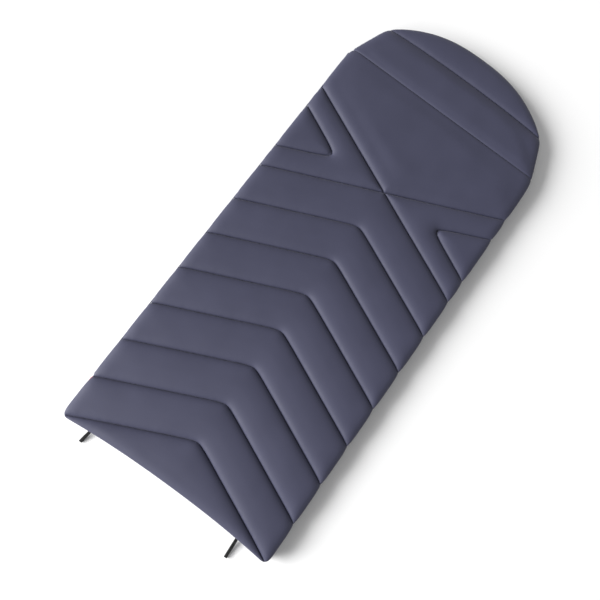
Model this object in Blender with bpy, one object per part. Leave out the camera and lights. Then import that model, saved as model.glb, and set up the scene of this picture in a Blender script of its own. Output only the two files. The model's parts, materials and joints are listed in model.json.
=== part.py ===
"""Infrared sauna blanket: a quilted heated mat and a quilted heated cover, closed like a sleeping bag.

The mat lies on the floor. The cover hinges along the left edge and closes with a zip along the foot
and the right side. Its head flap folds back at the neck seam, and two hanging loops are sewn to the foot.

Frame: metres, +Z up, +X to the right and +Y from the foot to the head. The origin is at the middle of
the bounding box, on the floor. Plan positions are written as (x, t), where t runs from the foot edge.
"""

import math

import bmesh
import bpy
from mathutils import Matrix, Vector

# Plan of the blanket
WIDTH = 0.800
BODY_LENGTH = 1.588  # foot edge to the neck seam
HOOD_TAPER = 0.150  # neck seam to the hood's corners
HOOD_WIDTH = 0.682  # between the hood's corners
HOOD_RISE = 0.116  # the arc's height above the hood's corners
CORNER_RADIUS = 0.025
SHOULDER_RADIUS = 0.040
NECK_CORNER = 0.012  # the rim's height changes over this length at the neck's ends

# Layers, from the floor up
GAP = 0.0003  # between neighbouring pieces
SHELL = 0.0017
BASE_BATTING = 0.0174
FOIL = 0.0006
HEATER = 0.0010
CABLE = 0.0024
LINER = 0.0012
CAVITY = 0.0092  # free height between the two liners
COVER_BATTING = 0.0263

# Edges
UNDERSIDE_INSET = 0.022  # the side bands start this far under the mat
LOWER_BEND = 0.005  # height of their rounded lower edge
BASE_INSET = 0.008  # the mat is this much smaller than the cover along the zip
HOOD_INSET = 0.006  # and this much along the hood
PIPING_RADIUS = 0.0017
HEATED_INSET = 0.036  # the heated layers stop this far from the edge
BORDER_SLOPE = 0.006  # width of the liner's step up to its border
BORDER_TOP = 0.0025  # the border lies this far below the parting plane
LEAD_PLAY = 0.0002  # above and below the lead under the border
TOUCH_TAPE_WIDTH = 0.025
TOUCH_TAPE = 0.0019

# Zip
ZIP_INSET = 0.0103
TAPE = 0.0006
TAPE_HEIGHT = 0.0090
TEETH = 0.0024
TEETH_SPACING = 0.0016  # free height between the two rows of teeth
SLIDER_LENGTH = 0.016
SLIDER_PLATE = 0.0015
SLIDER_HEIGHT = 0.0100
SLIDER_CLEARANCE = 0.0005
SLIDER_LIP = 0.0013
SLIDER_SLOT = 0.0020
ZIP_ROOM = 0.0070  # the shells stay this far from the parting plane along the zip
INNER_INSET = 0.017  # the inner layers leave this much room for the slider
PULL_WIDTH = 0.009
PULL_LENGTH = 0.024
PULL_THICKNESS = 0.0018
PIN_RADIUS = 0.0008
PULL_EYE = 0.0011
PULL_HUB = 0.0019
LUG = 0.0012
PIN_REACH = 0.0028  # from the slider's outer plate to its pin

# Power sockets in the right side of the mat
SOCKET_T = (0.170, 0.215)
SOCKET_RADIUS = 0.0065
SOCKET_BORE = 0.0052
SOCKET_FLANGE = 0.0085
SOCKET_MARGIN = 0.014  # the skin's panel round the sockets reaches this far past them
FLANGE_THICKNESS = 0.0020
SOCKET_DEPTH = 0.0140
SOCKET_FLOOR = 0.0030
INSERT = 0.0030
CONTACT_RADIUS = 0.0009
CONTACT_LENGTH = 0.0062
CONTACT_SPREAD = 0.0033
SOCKET_HEIGHT = 0.0145

# Hanging loops: name, distance from the side, length past the foot and turn outwards in degrees
LOOPS = (("left", 0.102, 0.040, 8.0), ("right", 0.119, 0.063, 4.0))
LOOP_WIDTH = 0.0105
LOOP_WEBBING = 0.0012
LOOP_GAP = 0.0080
LOOP_ROOT_GAP = 0.0012
LOOP_HEIGHT = 0.0140

# Heating cable and leads
CABLE_RUNS = 8
CABLE_END = 0.060  # free length at both ends of the heated area
LEAD_AXIS = (0.075, 0.115, 0.145)  # where the flexible lead lies on the hinge line

# Heights that follow from the layers
FOIL_Z = SHELL + GAP + BASE_BATTING + GAP
HEATER_Z = FOIL_Z + FOIL + GAP
CABLE_Z = HEATER_Z + HEATER + GAP
LINER_Z = CABLE_Z + CABLE + GAP
PARTING = LINER_Z + LINER + CAVITY
COVER_LINER_Z = PARTING + GAP
COVER_CABLE_Z = COVER_LINER_Z + LINER + GAP
COVER_HEATER_Z = COVER_CABLE_Z + CABLE + GAP
COVER_FOIL_Z = COVER_HEATER_Z + HEATER + GAP
COVER_BATTING_Z = COVER_FOIL_Z + FOIL + GAP
TOP = COVER_BATTING_Z + COVER_BATTING + GAP + SHELL
BORDER_Z = PARTING - BORDER_TOP
PAD_TOP = BORDER_Z - LINER - CABLE - 2 * LEAD_PLAY

# Plan places that follow
HALF = WIDTH / 2
HOOD_HALF = HOOD_WIDTH / 2
CORNER_T = BODY_LENGTH + HOOD_TAPER
LENGTH = CORNER_T + HOOD_RISE
HOOD_RADIUS = (HOOD_HALF**2 + HOOD_RISE**2) / (2 * HOOD_RISE)
LOOP_HALF = LOOP_GAP / 2 + LOOP_WEBBING
LOOP_ROOT_T = BASE_INSET - 2 * GAP - 2 * LOOP_WEBBING - LOOP_ROOT_GAP / 2
HINGE_X = -HALF + PIPING_RADIUS
LEFT_INSET = PIPING_RADIUS + GAP
ZIP_X = HALF - ZIP_INSET
ZIP_END = BODY_LENGTH - 0.030
SLIDER_T = ZIP_END - 0.020


def loop_drop(reach):
    """Angle at which a loop hangs from its root to rest on the floor."""
    return math.asin((LOOP_HEIGHT - LOOP_HALF - GAP) / (reach + LOOP_ROOT_T - LOOP_HALF))


def loop_extent(reach):
    """How far a loop that rests on the floor sticks out past the foot edge."""
    return (reach + LOOP_ROOT_T - LOOP_HALF) * math.cos(loop_drop(reach)) + LOOP_HALF - LOOP_ROOT_T


MIDDLE_T = (LENGTH - max(loop_extent(loop[2]) for loop in LOOPS)) / 2

FILLET_STEPS = 4
ARC_STEPS = 14
ROUND_SEGMENTS = 16

# Sides of the mat, as the first and last of their points in the mat's outline
CORNER_END = 2 * FILLET_STEPS + 1
SHOULDER_RIGHT = CORNER_END + 1 + FILLET_STEPS // 2
SHOULDER_LEFT = SHOULDER_RIGHT + FILLET_STEPS + 1 + ARC_STEPS + 1
SIDES = {
    "foot": (0, CORNER_END),
    "right": (CORNER_END, SHOULDER_RIGHT),
    "head": (SHOULDER_RIGHT, SHOULDER_LEFT),
    "left": (SHOULDER_LEFT, SHOULDER_LEFT + FILLET_STEPS // 2 + 1),
}

COLOURS = {
    "cover_fabric": ((0.075, 0.078, 0.120), 0.55, 0.0),
    "liner_fabric": ((0.035, 0.036, 0.045), 0.45, 0.0),
    "batting": ((0.70, 0.69, 0.66), 0.95, 0.0),
    "foil": ((0.80, 0.81, 0.83), 0.25, 1.0),
    "heater_felt": ((0.05, 0.05, 0.05), 0.80, 0.0),
    "cable": ((0.55, 0.05, 0.04), 0.50, 0.0),
    "zip_tape": ((0.030, 0.031, 0.042), 0.85, 0.0),
    "zip_teeth": ((0.025, 0.026, 0.032), 0.35, 0.0),
    "zip_metal": ((0.10, 0.10, 0.11), 0.35, 1.0),
    "webbing": ((0.006, 0.006, 0.007), 0.80, 0.0),
    "socket_plastic": ((0.012, 0.012, 0.013), 0.40, 0.0),
    "contact_metal": ((0.78, 0.62, 0.30), 0.25, 1.0),
    "touch_tape": ((0.020, 0.020, 0.022), 0.95, 0.0),
}


def clear_scene():
    for obj in list(bpy.data.objects):
        bpy.data.objects.remove(obj)


def material(name):
    """The Principled material of that name, made on first use."""
    found = bpy.data.materials.get(name)
    if found:
        return found
    colour, roughness, metallic = COLOURS[name]
    made = bpy.data.materials.new(name)
    made.use_nodes = True
    shader = made.node_tree.nodes["Principled BSDF"]
    shader.inputs["Base Color"].default_value = (*colour, 1.0)
    shader.inputs["Roughness"].default_value = roughness
    shader.inputs["Metallic"].default_value = metallic
    return made


def place(x, t, z):
    """The point at plan position (x, t) and height z."""
    return Vector((x, t - MIDDLE_T, z))


def link(name, mesh, finish, smooth_angle=35.0):
    obj = bpy.data.objects.new(name, mesh)
    bpy.context.scene.collection.objects.link(obj)
    mesh.materials.append(material(finish))
    mesh.shade_smooth()
    mesh.set_sharp_from_angle(angle=math.radians(smooth_angle))
    return obj


def finish_mesh(name, bm, finish):
    bmesh.ops.recalc_face_normals(bm, faces=bm.faces)
    mesh = bpy.data.meshes.new(name)
    bm.to_mesh(mesh)
    bm.free()
    return link(name, mesh, finish)


def apply_boolean(obj, other, operation):
    """Cuts other from obj, or joins it to obj, and removes other."""
    modifier = obj.modifiers.new("boolean", "BOOLEAN")
    modifier.object = other
    modifier.operation = operation
    bpy.context.view_layer.update()
    graph = bpy.context.evaluated_depsgraph_get()
    mesh = bpy.data.meshes.new_from_object(obj.evaluated_get(graph))
    obj.modifiers.clear()
    obj.data = mesh
    bpy.data.objects.remove(other)
    return obj


# Plan outlines ------------------------------------------------------------------------------------


def offset_line(start, end, inset):
    """The line from start to end, moved to its left by inset. Outlines run anticlockwise."""
    along = (end - start).normalized()
    shift = Vector((-along.y, along.x)) * inset
    return start + shift, along


def meet(line_a, line_b):
    (a, u), (b, v) = line_a, line_b
    cross = u.x * v.y - u.y * v.x
    share = ((b.x - a.x) * v.y - (b.y - a.y) * v.x) / cross
    return a + u * share


def meet_arc(line, radius, centre_t):
    """Where a line crosses the hood's arc, on the line's own side."""
    start, along = line
    rel = start - Vector((0.0, centre_t))
    b = rel.dot(along)
    root = math.sqrt(b * b - rel.dot(rel) + radius * radius)
    near = [start + along * (-b + sign * root) for sign in (1, -1)]
    return max(near, key=lambda p: p.y)


def fillet(corner, line_in, line_out, radius):
    """Points of a rounded corner, which runs from the line in to the line out."""
    u, v = -line_in[1], line_out[1]
    half_angle = math.acos(max(-1.0, min(1.0, u.dot(v)))) / 2
    reach = radius / math.tan(half_angle)
    centre = corner + (u + v).normalized() * (radius / math.sin(half_angle))
    first = corner + u * reach - centre
    turn = math.pi - 2 * half_angle
    points = []
    for step in range(FILLET_STEPS + 1):
        angle = turn * step / FILLET_STEPS
        spin = Matrix.Rotation(angle, 2)
        points.append(centre + spin @ first)
    return points


def body_outline(zip_inset, left_inset, neck_inset):
    """The cover's plan: foot, right side, neck seam and left side."""
    corners = [
        Vector((-HALF, 0.0)),
        Vector((HALF, 0.0)),
        Vector((HALF, BODY_LENGTH - GAP)),
        Vector((-HALF, BODY_LENGTH - GAP)),
    ]
    insets = (zip_inset, zip_inset, neck_inset, left_inset)
    zones = ("zip", "zip", "neck", "left")
    lines = [offset_line(corners[i], corners[(i + 1) % 4], insets[i]) for i in range(4)]
    foot_radius = max(CORNER_RADIUS - zip_inset, 0.002)
    points = []
    for i in range(4):
        corner = meet(lines[i - 1], lines[i])
        if i < 2:
            rounded = fillet(corner, lines[i - 1], lines[i], foot_radius)
            points += [(p, zones[i - 1] if k == 0 else zones[i]) for k, p in enumerate(rounded)]
        elif i == 2:
            points += [(corner - Vector((0.0, NECK_CORNER)), "zip"), (corner, "neck")]
        else:
            points += [(corner + Vector((NECK_CORNER, 0.0)), "neck"), (corner, "left")]
    return points


def base_outline(zip_inset, left_inset, hood_inset):
    """The mat's plan: foot, right side, hood and left side."""
    shoulder_t = BODY_LENGTH
    corners = [
        Vector((-HALF, 0.0)),
        Vector((HALF, 0.0)),
        Vector((HALF, shoulder_t)),
        Vector((HOOD_HALF, CORNER_T)),
        Vector((-HOOD_HALF, CORNER_T)),
        Vector((-HALF, shoulder_t)),
    ]
    foot = offset_line(corners[0], corners[1], zip_inset)
    right = offset_line(corners[1], corners[2], zip_inset)
    taper_right = offset_line(corners[2], corners[3], hood_inset)
    taper_left = offset_line(corners[4], corners[5], hood_inset)
    left = offset_line(corners[5], corners[0], left_inset)
    foot_radius = max(CORNER_RADIUS - zip_inset, 0.002)
    shoulder_radius = max(SHOULDER_RADIUS - hood_inset, 0.004)
    points = []
    turns = (
        (left, foot, foot_radius, "left", "zip"),
        (foot, right, foot_radius, "zip", "zip"),
        (right, taper_right, shoulder_radius, "zip", "hood"),
    )
    for line_in, line_out, radius, before, after in turns:
        rounded = fillet(meet(line_in, line_out), line_in, line_out, radius)
        points += [(p, before if k == 0 else after) for k, p in enumerate(rounded)]
    points += [(p, "hood") for p in hood_arc(taper_right, taper_left, hood_inset)]
    rounded = fillet(meet(taper_left, left), taper_left, left, shoulder_radius)
    points += [(p, "hood" if k == 0 else "left") for k, p in enumerate(rounded)]
    return points


def hood_arc(taper_right, taper_left, inset):
    """Points along the hood's arc, from the right corner to the left one."""
    centre_t = LENGTH - HOOD_RADIUS
    radius = HOOD_RADIUS - inset
    start = meet_arc(taper_right, radius, centre_t)
    end = meet_arc(taper_left, radius, centre_t)
    first = math.atan2(start.y - centre_t, start.x)
    last = math.atan2(end.y - centre_t, end.x)
    angles = [first + (last - first) * k / ARC_STEPS for k in range(ARC_STEPS + 1)]
    return [Vector((radius * math.cos(a), centre_t + radius * math.sin(a))) for a in angles]


def flap_outline(hood_inset, neck_inset):
    """The head flap's plan: neck seam, right taper, arc and left taper."""
    neck_t = BODY_LENGTH + GAP
    taper = (HALF - HOOD_HALF) / HOOD_TAPER
    neck_half = HALF - taper * GAP
    corners = [
        Vector((-neck_half, neck_t)),
        Vector((neck_half, neck_t)),
        Vector((HOOD_HALF, CORNER_T)),
        Vector((-HOOD_HALF, CORNER_T)),
    ]
    neck = offset_line(corners[0], corners[1], neck_inset)
    taper_right = offset_line(corners[1], corners[2], hood_inset)
    taper_left = offset_line(corners[3], corners[0], hood_inset)
    points = [(meet(taper_left, neck), "neck"), (meet(neck, taper_right), "hood")]
    points += [(p, "hood") for p in hood_arc(taper_right, taper_left, hood_inset)]
    return points


# Solids from rings --------------------------------------------------------------------------------


def ring_solid(name, rings, finish):
    """A closed solid through rings of points, which all have as many points, with both ends capped."""
    bm = bmesh.new()
    made = [[bm.verts.new(p) for p in ring] for ring in rings]
    count = len(made[0])
    for lower, upper in zip(made, made[1:]):
        for i in range(count):
            j = (i + 1) % count
            bm.faces.new((lower[i], lower[j], upper[j], upper[i]))
    bm.faces.new(list(reversed(made[0])))
    bm.faces.new(made[-1])
    return finish_mesh(name, bm, finish)


def base_ring(zip_level, left_level, hood_level):
    """One ring of the mat. A level is (inset, height)."""
    heights = {"zip": zip_level[1], "left": left_level[1], "hood": hood_level[1]}
    plan = base_outline(zip_level[0], left_level[0], hood_level[0])
    return [place(p.x, p.y, heights[zone]) for p, zone in plan]


def level_ring(inset, height):
    """A ring of the mat with the same inset and height all round."""
    return base_ring((inset, height), (inset, height), (inset, height))


def slope_inset(height):
    """How far in from the edge the underside of the liner's slope is at that height."""
    return HEATED_INSET - BORDER_SLOPE * (height - LINER_Z) / (BORDER_Z - LINER - LINER_Z)


def cover_ring(zip_level, left_level, neck_level):
    heights = {"zip": zip_level[1], "left": left_level[1], "neck": neck_level[1]}
    plan = body_outline(zip_level[0], left_level[0], neck_level[0])
    return [place(p.x, p.y, heights[zone]) for p, zone in plan]


def flap_ring(hood_level, neck_level):
    heights = {"hood": hood_level[1], "neck": neck_level[1]}
    plan = flap_outline(hood_level[0], neck_level[0])
    return [place(p.x, p.y, heights[zone]) for p, zone in plan]


def box(name, low, high, finish="zip_metal"):
    """A box between two corners given as (x, t, z)."""
    bm = bmesh.new()
    bmesh.ops.create_cube(bm, size=1.0)
    a, b = place(*low), place(*high)
    size = b - a
    bmesh.ops.scale(bm, vec=size, verts=bm.verts)
    bmesh.ops.translate(bm, vec=(a + b) / 2, verts=bm.verts)
    return finish_mesh(name, bm, finish)


def extrude_profile(name, profile, direction, finish):
    """A solid with a flat closed outline, extruded along direction."""
    bm = bmesh.new()
    near = [bm.verts.new(p) for p in profile]
    face = bm.faces.new(near)
    moved = bmesh.ops.extrude_face_region(bm, geom=[face])["geom"]
    verts = [v for v in moved if isinstance(v, bmesh.types.BMVert)]
    bmesh.ops.translate(bm, vec=direction, verts=verts)
    return finish_mesh(name, bm, finish)


def turned(name, profile, centre, finish):
    """A solid turned about the X axis through centre. The profile is a list of (x, radius)."""
    bm = bmesh.new()
    rings = []
    for x, radius in profile:
        if radius == 0.0:
            rings.append([bm.verts.new(centre + Vector((x, 0.0, 0.0)))])
            continue
        angles = [2 * math.pi * k / ROUND_SEGMENTS for k in range(ROUND_SEGMENTS)]
        rings.append(
            [bm.verts.new(centre + Vector((x, radius * math.cos(a), radius * math.sin(a)))) for a in angles]
        )
    for one, two in zip(rings, rings[1:]):
        for i in range(ROUND_SEGMENTS):
            j = (i + 1) % ROUND_SEGMENTS
            if len(one) == 1:
                bm.faces.new((one[0], two[j], two[i]))
            elif len(two) == 1:
                bm.faces.new((one[i], one[j], two[0]))
            else:
                bm.faces.new((one[i], one[j], two[j], two[i]))
    return finish_mesh(name, bm, finish)


def tube(name, points, radius, finish, sides=1):
    """A round cable or cord along points, as a curve with capped ends."""
    curve = bpy.data.curves.new(name, "CURVE")
    curve.dimensions = "3D"
    curve.bevel_depth = radius
    curve.bevel_resolution = sides
    curve.use_fill_caps = True
    spline = curve.splines.new("POLY")
    spline.points.add(len(points) - 1)
    for target, point in zip(spline.points, points):
        target.co = (*point, 1.0)
    obj = bpy.data.objects.new(name, curve)
    bpy.context.scene.collection.objects.link(obj)
    curve.materials.append(material(finish))
    return obj


def smooth_path(points, steps):
    """A Catmull-Rom curve through points, with that many steps for each span."""
    padded = [points[0] * 2 - points[1], *points, points[-1] * 2 - points[-2]]
    line = []
    for i in range(len(points) - 1):
        p0, p1, p2, p3 = padded[i : i + 4]
        for k in range(steps):
            s = k / steps
            line.append(
                0.5
                * (
                    p1 * 2
                    + (p2 - p0) * s
                    + (p0 * 2 - p1 * 5 + p2 * 4 - p3) * s * s
                    + (p1 * 3 - p0 - p2 * 3 + p3) * s**3
                )
            )
    return line + [points[-1]]


# The mat ------------------------------------------------------------------------------------------


def base_skin():
    """The mat's outer fabric: an underside and four side bands, open at the top."""
    rim_zip = PARTING - ZIP_ROOM
    rim_left = PARTING - LEFT_INSET
    rim_hood = PARTING - GAP
    underside = [level_ring(UNDERSIDE_INSET + GAP, z) for z in (0.0, SHELL)]
    ring_solid("base_underside", underside, "cover_fabric")
    zip_in, left_in, hood_in = BASE_INSET + SHELL, LEFT_INSET + SHELL, HOOD_INSET + SHELL
    middle = 0.6 * rim_zip
    inner_bend = LOWER_BEND + SHELL
    rings = [
        level_ring(UNDERSIDE_INSET, 0.0),
        base_ring((BASE_INSET, LOWER_BEND), (BASE_INSET, LOWER_BEND), (HOOD_INSET, LOWER_BEND)),
        base_ring((BASE_INSET, middle), (LEFT_INSET, middle), (HOOD_INSET, middle)),
        base_ring((BASE_INSET, rim_zip), (LEFT_INSET, rim_left), (HOOD_INSET, rim_hood)),
        base_ring((zip_in, rim_zip), (left_in, rim_left), (hood_in, rim_hood)),
        base_ring((zip_in, middle), (left_in, middle), (hood_in, middle)),
        base_ring((zip_in, inner_bend), (zip_in, inner_bend), (hood_in, inner_bend)),
        level_ring(UNDERSIDE_INSET, SHELL),
    ]
    panel_low, panel_high = SOCKET_T[0] - SOCKET_MARGIN, SOCKET_T[-1] + SOCKET_MARGIN
    band("base_side_foot", SIDES["foot"], rings, "cover_fabric", end_t=panel_low - GAP)
    band("base_side_right", SIDES["right"], rings, "cover_fabric", start_t=panel_high + GAP)
    left_last = SIDES["left"][1]
    shoulder_t = BODY_LENGTH - 2 * SHOULDER_RADIUS
    head_span = (SHOULDER_RIGHT, left_last - 1)
    band("base_side_head", head_span, rings, "cover_fabric", end_t=shoulder_t + GAP)
    band("base_side_left", (left_last - 1, left_last), rings, "cover_fabric", start_t=shoulder_t)
    panel = band("socket_panel", (CORNER_END, CORNER_END), rings, "cover_fabric", panel_low, panel_high)
    for t in SOCKET_T:
        profile = cylinder_profile(-0.010, 0.010, SOCKET_RADIUS + GAP)
        apply_boolean(panel, turned("hole", profile, wall_point(t), "cover_fabric"), "DIFFERENCE")


def band(name, span, rings, finish, start_t=None, end_t=None):
    """A strip along a span of the mat's outline, with one section at each point of the plan.

    start_t is a place for the first section, and end_t a place for one more after the last.
    """
    first, last = span
    count = len(rings[0])
    sections = [[ring[i % count].copy() for ring in rings] for i in range(first, last + 1)]
    if start_t is not None:
        sections[0] = at_t(sections[0], start_t)
    if end_t is not None:
        sections.append(at_t(sections[-1], end_t))
    if start_t is None:
        mitre(sections[0], sections[1])
    if end_t is None:
        mitre(sections[-1], sections[-2])
    return ring_solid(name, sections, finish)


def at_t(section, t):
    """A copy of a band's section, moved along the blanket to t."""
    return [Vector((point.x, t - MIDDLE_T, point.z)) for point in section]


def mitre(section, neighbour):
    """Cuts a band's end flat, half a gap back, along the line from its first point to its fourth."""
    across = section[3] - section[0]
    along = Vector((-across.y, across.x, 0.0)).normalized()
    if along.dot(neighbour[0] - section[0]) < 0.0:
        along.negate()
    cut = section[0] + along * GAP / 2
    for point, other in zip(section, neighbour):
        step = other - point
        point += step * ((cut - point).dot(along) / step.dot(along))


def cylinder_profile(low, high, radius):
    return [(low, 0.0), (low, radius), (high, radius), (high, 0.0)]


def wall_point(t):
    """The middle of a socket, on the outer face of the mat's right wall."""
    return place(HALF - BASE_INSET, t, SOCKET_HEIGHT)


def base_filling():
    """Felt filling of the mat: a slab, with a pocket for the sockets, and raised pads along the edges."""
    low, flat = SHELL + GAP, SHELL + GAP + BASE_BATTING
    side = BASE_INSET + SHELL + 0.004
    slope = 0.006
    rings = [level_ring(0.030, low), level_ring(side, low + slope), level_ring(side, flat)]
    slab = ring_solid("base_batting", rings, "batting")
    pocket_start = SOCKET_T[0] - 0.016
    pocket_end = SOCKET_T[-1] + SOCKET_FLANGE + 0.008
    pocket = box(
        "pocket",
        (HALF - HEATED_INSET - 0.003, pocket_start, SOCKET_HEIGHT - SOCKET_RADIUS - 0.001),
        (HALF, pocket_end, PARTING),
    )
    apply_boolean(slab, pocket, "DIFFERENCE")
    pad_low = flat + GAP
    inner = HEATED_INSET - 0.0008
    rings = [
        base_ring((INNER_INSET, pad_low), (side, pad_low), (side, pad_low)),
        base_ring((INNER_INSET, PAD_TOP), (side, PAD_TOP), (side, PAD_TOP)),
        level_ring(slope_inset(PAD_TOP) - 0.0008, PAD_TOP),
        level_ring(inner, LINER_Z),
        level_ring(inner, pad_low),
    ]
    (first, last), (left_first, left_last) = SIDES["foot"], SIDES["left"]
    half = FILLET_STEPS // 2
    band("edge_pad_foot", (first + half, last), rings, "batting", end_t=pocket_start - GAP)
    band("edge_pad_right", SIDES["right"], rings, "batting", start_t=pocket_end)
    band("edge_pad_head", SIDES["head"], rings, "batting")
    band("edge_pad_left", (left_first, left_last + half), rings, "batting")


def base_liner():
    """Waterproof liner of the mat: a flat sheet, and a border that steps up over the edge pads."""
    sheet_inset = HEATED_INSET + LINER
    sheet = [level_ring(sheet_inset, z) for z in (LINER_Z, LINER_Z + LINER)]
    ring_solid("base_liner", sheet, "liner_fabric")
    step, edge = HEATED_INSET - BORDER_SLOPE, 0.008
    under = BORDER_Z - LINER
    rings = [
        level_ring(sheet_inset - GAP, LINER_Z),
        level_ring(step, under),
        base_ring((INNER_INSET, under), (edge, under), (edge + 0.004, under)),
        base_ring((INNER_INSET, BORDER_Z), (edge, BORDER_Z), (edge + 0.004, BORDER_Z)),
        level_ring(step + LINER, BORDER_Z),
        level_ring(sheet_inset - GAP, LINER_Z + LINER),
    ]
    border = loop_solid("liner_border", rings, "liner_fabric")
    notch = box(
        "notch",
        (-HALF - 0.002, LEAD_AXIS[0] - 0.051, LINER_Z),
        (-HALF + 0.019, LEAD_AXIS[0] + 0.004, PARTING),
    )
    apply_boolean(border, notch, "DIFFERENCE")


def loop_solid(name, rings, finish):
    """A closed solid that runs all round through rings of points, from the last ring back to the first."""
    bm = bmesh.new()
    made = [[bm.verts.new(p) for p in ring] for ring in rings]
    count = len(made[0])
    for lower, upper in zip(made, made[1:] + made[:1]):
        for i in range(count):
            j = (i + 1) % count
            bm.faces.new((lower[i], lower[j], upper[j], upper[i]))
    return finish_mesh(name, bm, finish)


def cable_path(height, end_shift):
    """Heating cable: runs along the heated area, joined by round bends."""
    usable = WIDTH - 2 * (HEATED_INSET + 0.040)
    pitch = usable / (CABLE_RUNS - 1)
    low_t, high_t = HEATED_INSET + CABLE_END, BODY_LENGTH - HEATED_INSET - CABLE_END
    points = []
    for run in range(CABLE_RUNS):
        x = usable / 2 - pitch * run
        ends = (low_t, high_t) if run % 2 == 0 else (high_t, low_t)
        points += [place(x, ends[0], height), place(x, ends[1], height)]
        if run == CABLE_RUNS - 1:
            break
        side = 1 if run % 2 == 0 else -1
        for step in range(1, 6):
            angle = math.pi * step / 6
            points.append(
                place(
                    x - pitch / 2 + pitch / 2 * math.cos(angle),
                    ends[1] + side * pitch / 2 * math.sin(angle),
                    height,
                )
            )
    points[0] = points[0] + Vector((0.0, end_shift, 0.0))
    return points


def heated_stack(prefix, foil_z, heater_z, cable_z):
    """Foil, heating felt, heating cable, temperature sensor and thermal cut-out of one half."""
    foil_low, heater_low = min(foil_z, foil_z + FOIL), min(heater_z, heater_z + HEATER)
    limit_t = BODY_LENGTH - HEATED_INSET
    for name, low, thickness, finish in (
        ("foil", foil_low, FOIL, "foil"),
        ("heating_felt", heater_low, HEATER, "heater_felt"),
    ):
        box(
            f"{prefix}_{name}",
            (-HALF + HEATED_INSET, HEATED_INSET, low),
            (HALF - HEATED_INSET, limit_t, low + thickness),
            finish,
        )
    axis_z = cable_z + CABLE / 2
    tube(f"{prefix}_heating_cable", cable_path(axis_z, 0.0), CABLE / 2, "cable")
    pitch = (WIDTH - 2 * (HEATED_INSET + 0.040)) / (CABLE_RUNS - 1)
    middle_t = BODY_LENGTH / 2
    sensor = turned_up(f"{prefix}_temperature_sensor", 0.0028, CABLE - 0.0002, finish="socket_plastic")
    sensor.location = place(pitch, middle_t, cable_z + 0.0001)
    box(
        f"{prefix}_thermal_cutout",
        (-pitch - 0.005, middle_t - 0.009, cable_z + 0.0001),
        (-pitch + 0.005, middle_t + 0.009, cable_z + CABLE - 0.0001),
        "contact_metal",
    )


def turned_up(name, radius, height, finish):
    """A short upright cylinder that stands on its own origin."""
    bm = bmesh.new()
    bmesh.ops.create_cone(
        bm, cap_ends=True, segments=ROUND_SEGMENTS, radius1=radius, radius2=radius, depth=height
    )
    bmesh.ops.translate(bm, vec=(0.0, 0.0, height / 2), verts=bm.verts)
    return finish_mesh(name, bm, finish)


def piping():
    """Round cord in the left seam. Its axis is the cover's hinge line."""
    tube(
        "hinge_piping",
        [place(HINGE_X, t, PARTING) for t in (LEAD_AXIS[2] + 0.015, BODY_LENGTH - 0.008)],
        PIPING_RADIUS,
        "cover_fabric",
        sides=2,
    )


# Zip ----------------------------------------------------------------------------------------------


def zip_path(inset):
    """Plan points along the zip, with their inward normals: foot, right corner and right side."""
    radius = CORNER_RADIUS - inset
    centre = Vector((HALF - CORNER_RADIUS, CORNER_RADIUS))
    start_x = -HALF + CORNER_RADIUS + 0.010
    points = [(Vector((start_x, inset)), Vector((0.0, 1.0)))]
    for step in range(FILLET_STEPS + 1):
        angle = -math.pi / 2 + math.pi / 2 * step / FILLET_STEPS
        outward = Vector((math.cos(angle), math.sin(angle)))
        points.append((centre + outward * radius, -outward))
    points.append((Vector((HALF - inset, ZIP_END)), Vector((-1.0, 0.0))))
    return points


def zip_strip(name, low, high, thickness, finish):
    """Two upright strips that follow the zip, along the foot and its corner and along the side."""
    path = zip_path(ZIP_INSET)
    foot, side = path[:-1], path[-2:]
    join, normal = side[0]
    side = [(join + Vector((0.0, GAP)), normal), side[1]]
    for part, points in (("foot", foot), ("side", side)):
        rings = []
        for point, inward in points:
            near, far = point - inward * thickness / 2, point + inward * thickness / 2
            rings.append([place(*near, low), place(*near, high), place(*far, high), place(*far, low)])
        ring_solid(f"{name}_{part}", rings, finish)


def zip_halves():
    """Both zip tapes and both rows of teeth, each row as one bead, and the stops at the head end."""
    half = TEETH_SPACING / 2
    for side, name in ((-1, "lower"), (1, "upper")):
        levels = sorted((PARTING + side * half, PARTING + side * (half + TEETH)))
        zip_strip(f"zip_teeth_{name}", levels[0], levels[1], TEETH, "zip_teeth")
        edge = half + TEETH + GAP
        levels = sorted((PARTING + side * edge, PARTING + side * (edge + TAPE_HEIGHT)))
        zip_strip(f"zip_tape_{name}", levels[0], levels[1], TAPE, "zip_tape")
        stop = sorted((PARTING + side * half, PARTING + side * (half + TEETH)))
        box(
            f"zip_stop_{name}",
            (ZIP_X - TEETH / 2, ZIP_END + GAP, stop[0]),
            (ZIP_X + TEETH / 2, ZIP_END + GAP + 0.004, stop[1]),
        )


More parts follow.
